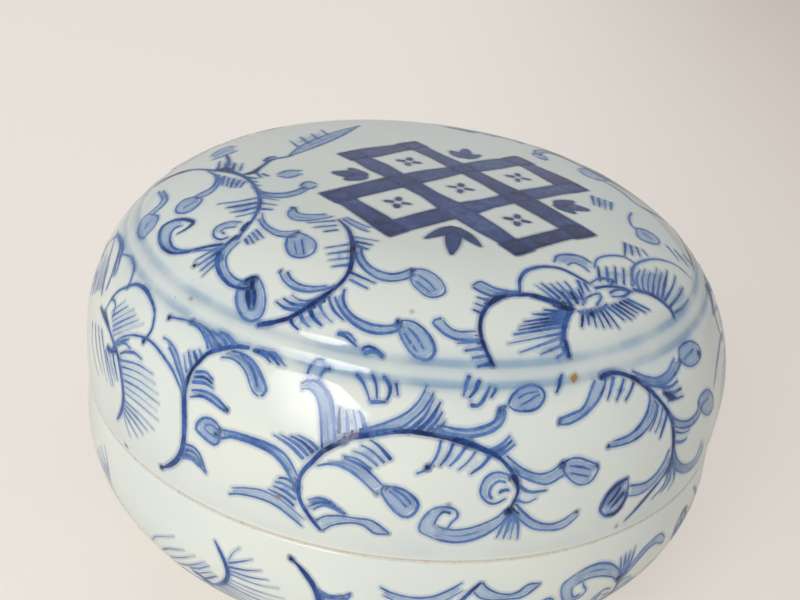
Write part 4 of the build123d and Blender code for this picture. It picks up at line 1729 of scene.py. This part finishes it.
# %% Oily vermilion
PASTE_IOR, OILY = 1.48, 0.20
VERMILION = (0.640, 0.036, 0.014, 1)
VERMILION_DEEP = (0.270, 0.008, 0.006, 1)
DEEP_PATCHES, DEEP_SHARE, DRIER = (0.30 * PER_MM, 0.40, 0.70, 4.0), 0.45, 0.20
FIBRES, FIBRE_STRETCH, FIBRE_SHARE = (2.2 * PER_MM, 5.0), (1.0, 0.22, 1.0), 0.25
DIMPLES, DIMPLE_DEPTH, DIMPLE_STRENGTH = (0.55 * PER_MM, 3.0), 0.35 * MM, 0.8


def paste_material():
    """Oily vermilion with short plant fibres in it."""
    material, bench = new_material("seal_paste")
    where = bench.node("ShaderNodeTexCoord", out="Object")
    deep = bench.patches(where, *DEEP_PATCHES)
    stretched = bench.node("ShaderNodeMapping", {}, {"Vector": where, "Scale": FIBRE_STRETCH})
    height = bench.noise(stretched, *FIBRES) * FIBRE_SHARE + bench.noise(where, *DIMPLES)
    bump = {"Strength": DIMPLE_STRENGTH, "Distance": DIMPLE_DEPTH, "Height": height}
    sockets = {
        "Base Color": bench.mix(deep * DEEP_SHARE, VERMILION, VERMILION_DEEP),
        "Roughness": deep * DRIER + OILY,
        "IOR": PASTE_IOR,
        "Normal": bench.node("ShaderNodeBump", {}, bump),
    }
    finish_material(bench, sockets)
    return material


# %% The mound's section
PASTE_CLEARANCE = 0.2 * MM
PASTE_EDGE_ANGLE = 60
PASTE_CROWN = 7.5 * MM
EDGE_CUT, EDGE_ROUNDING = 1.0 * MM, 0.8 * MM


def paste_section():
    """The section of the mound: over the top, round its edge and back along the floor of the bowl."""
    bowl = base_outline(BOWL_WALL + PASTE_CLEARANCE, 0)
    side_arc = UNDERSIDE_ARC - BOWL_WALL - PASTE_CLEARANCE
    centre = np.array([bowl[-1, 0], bowl[-1, 1] + side_arc])
    turn = math.radians(-PASTE_EDGE_ANGLE)
    rim = centre + side_arc * np.array([math.cos(turn), math.sin(turn)])
    mound = (rim[0] ** 2 + PASTE_CROWN**2) / (2 * PASTE_CROWN)
    middle = (0, rim[1] + PASTE_CROWN - mound)
    drop = math.degrees(math.atan2(rim[1] - middle[1], rim[0]))
    over = arc(middle, mound, 90, drop)
    under = arc(centre, side_arc, -PASTE_EDGE_ANGLE, -90)
    kept = over[np.linalg.norm(over - rim, axis=1) > EDGE_CUT]
    below_rim = under[np.linalg.norm(under - rim, axis=1) > EDGE_CUT]
    edge = rounded([(kept[-1], NO_ROUNDING), (rim, EDGE_ROUNDING), (below_rim[0], NO_ROUNDING)])
    floor = straight(below_rim[-1], (0, below_rim[-1, 1])) + np.array([0, PASTE_CLEARANCE])
    return joined(kept, edge, below_rim[:-1], floor)[::-1]


# %% Lumps on the mound
PASTE_LUMPS, LEVEL_TOP = 1.3 * MM, (0.90, 0.98)
BIG_LUMPS, BIG_LEVEL = (0.075 * PER_MM, 2.0), 0.55
SMALL_LUMPS, SMALL_SHARE = (0.35 * PER_MM, 2.0), 0.16


def lump_tree():
    """Dents the top of a mound, fading out towards its edge."""
    tree, bench, given = geometry_tree("paste_lumps", {"Depth": "Float", "Material": "Material"})
    place = bench.node("GeometryNodeInputPosition")
    up = bench.part(bench.node("GeometryNodeInputNormal"), "Z")
    big = bench.noise(place, *BIG_LUMPS) - BIG_LEVEL
    small = bench.noise(place, *SMALL_LUMPS) - 0.5
    push = (big + small * SMALL_SHARE) * given["Depth"] * up.between(*LEVEL_TOP)
    height = bench.node("ShaderNodeCombineXYZ", {}, {"Z": push})
    made = bench.node("GeometryNodeSetPosition", {}, {"Geometry": given["Geometry"], "Offset": height})
    end_tree(bench, made, given["Material"])
    return tree


# %% The paste in the bowl
VERMILION_PASTE = paste_material()
section = paste_section()
plain = throw("plain_paste", section, np.zeros(len(section)), np.zeros(len(section)), VERMILION_PASTE)
paste = run_tree(plain, lump_tree(), {"Depth": PASTE_LUMPS, "Material": VERMILION_PASTE}, "pressed_paste")
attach(paste, "base")
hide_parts("seal_paste")
print("paste", len(paste.data.polygons), "faces")

# %% [markdown]
# ## The room
# The photograph was taken by a big window, in front of something pale and out of focus. A wide pale
# floor stands in for it, a soft sky fills the shadows, and one bright pane is placed by reflection:
# from the camera, off the glaze at the corners of the highlight, and out to the pane. The floor's
# colour is painted shade, lit at the left and shaded at the right. To the camera half of the floor is
# also painted light, an emission with the same fall from left to right, and the sky behind it is as
# pale as the floor, without lighting the box.

# %% The floor
FLOOR_HALF, FLOOR_ROUGHNESS = 3, 0.9
FLOOR_LIT_SIDE, FLOOR_SHADED_SIDE = (0.95, 0.89, 0.81, 1), (0.63, 0.57, 0.51, 1)
FLOOR_SHADE = (-0.04, 0.26)
GLOW_LIT_SIDE, GLOW_SHADED_SIDE = (0.94, 0.88, 0.81, 1), (0.68, 0.61, 0.54, 1)
PAINTED_GLOW_SHARE, PAINTED_GLOW_STRENGTH = 0.5, 1.0

material, bench = new_material("pale_floor")
where = bench.node("ShaderNodeTexCoord", out="Object")
# Painted shade: the floor's own colour is lit at the left and shaded towards the right.
shade = bench.part(where, "X").between(*FLOOR_SHADE)
sockets = {"Base Color": bench.mix(shade, FLOOR_LIT_SIDE, FLOOR_SHADED_SIDE), "Roughness": FLOOR_ROUGHNESS}
matt = bench.node("ShaderNodeBsdfPrincipled", {}, sockets)
# Painted light: to the camera half of the floor is this emission, lit at the left and shaded towards the
# right, though the floor is no lamp.
sockets = {"Color": bench.mix(shade, GLOW_LIT_SIDE, GLOW_SHADED_SIDE), "Strength": PAINTED_GLOW_STRENGTH}
painted_glow = bench.node("ShaderNodeEmission", {}, sockets)
to_camera = bench.node("ShaderNodeLightPath", out="Is Camera Ray") * PAINTED_GLOW_SHARE
seen_floor = bench.node("ShaderNodeMixShader", {}, {0: to_camera, 1: matt, 2: painted_glow})
bench.node("ShaderNodeOutputMaterial", {}, {"Surface": seen_floor})
corners = [(FLOOR_HALF * x, FLOOR_HALF * y, 0) for x, y in ((-1, -1), (1, -1), (1, 1), (-1, 1))]
floor = points_object("floor", corners, [], {}, [(0, 1, 2, 3)])
floor.data.materials.append(material)
print("floor", 2 * FLOOR_HALF, "m wide")

# %% The window pane
PANE_CORNERS = (
    ((262, 384), 0.10),
    ((280, 368), 0.50),
    ((318, 364), 0.90),
    ((368, 414), 1.00),
    ((352, 444), 0.60),
    ((316, 440), 0.20),
    ((270, 424), 0.00),
)
PANE_MIDDLE = ((322, 398), 1.00)
PANE_DISTANCE, PANE_STRENGTH = 1.4, 9.0
PANE_COLOUR = (1.0, 0.98, 0.96, 1)

eye = np.array(camera_place)
corners = []
for place, outward in zip(*lid_skin.snap(seen([pixel for pixel, _ in (*PANE_CORNERS, PANE_MIDDLE)]))):
    sight = (place - eye) / np.linalg.norm(place - eye)
    bounce = sight - 2 * (sight @ outward) * outward
    corners.append(place + bounce * PANE_DISTANCE)
glows = [glow for _, glow in (*PANE_CORNERS, PANE_MIDDLE)]
count = len(PANE_CORNERS)
faces = [(count, i, (i + 1) % count) for i in range(count)]
pane = points_object("window_pane", corners, [], {"glow": glows}, faces)
material, bench = new_material("window_pane")
strength = bench.attribute("glow") * PANE_STRENGTH
glow = bench.node("ShaderNodeEmission", {}, {"Color": PANE_COLOUR, "Strength": strength})
bench.node("ShaderNodeOutputMaterial", {}, {"Surface": glow})
pane.data.materials.append(material)
pane.visible_camera = False
print("window pane corners", [[round(float(c), 2) for c in corner] for corner in corners])

# %% The sky
SKY, SKY_STRENGTH = (0.97, 0.975, 1.0, 1), 0.54
BACKDROP, BACKDROP_STRENGTH = (0.84, 0.80, 0.75, 1), 1.0

world = bpy.data.worlds.new("sky")
world.use_nodes = True
world.node_tree.nodes.clear()
bench = Bench(world.node_tree)
sky = bench.node("ShaderNodeBackground", {}, {"Color": SKY, "Strength": SKY_STRENGTH})
backdrop = bench.node("ShaderNodeBackground", {}, {"Color": BACKDROP, "Strength": BACKDROP_STRENGTH})
to_camera = bench.node("ShaderNodeLightPath", out="Is Camera Ray")
seen_world = bench.node("ShaderNodeMixShader", {}, {0: to_camera, 1: sky, 2: backdrop})
bench.node("ShaderNodeOutputWorld", {}, {"Surface": seen_world})
scene = bpy.context.scene
scene.world = world
scene.view_settings.view_transform = "Standard"
print("sky strength", SKY_STRENGTH)
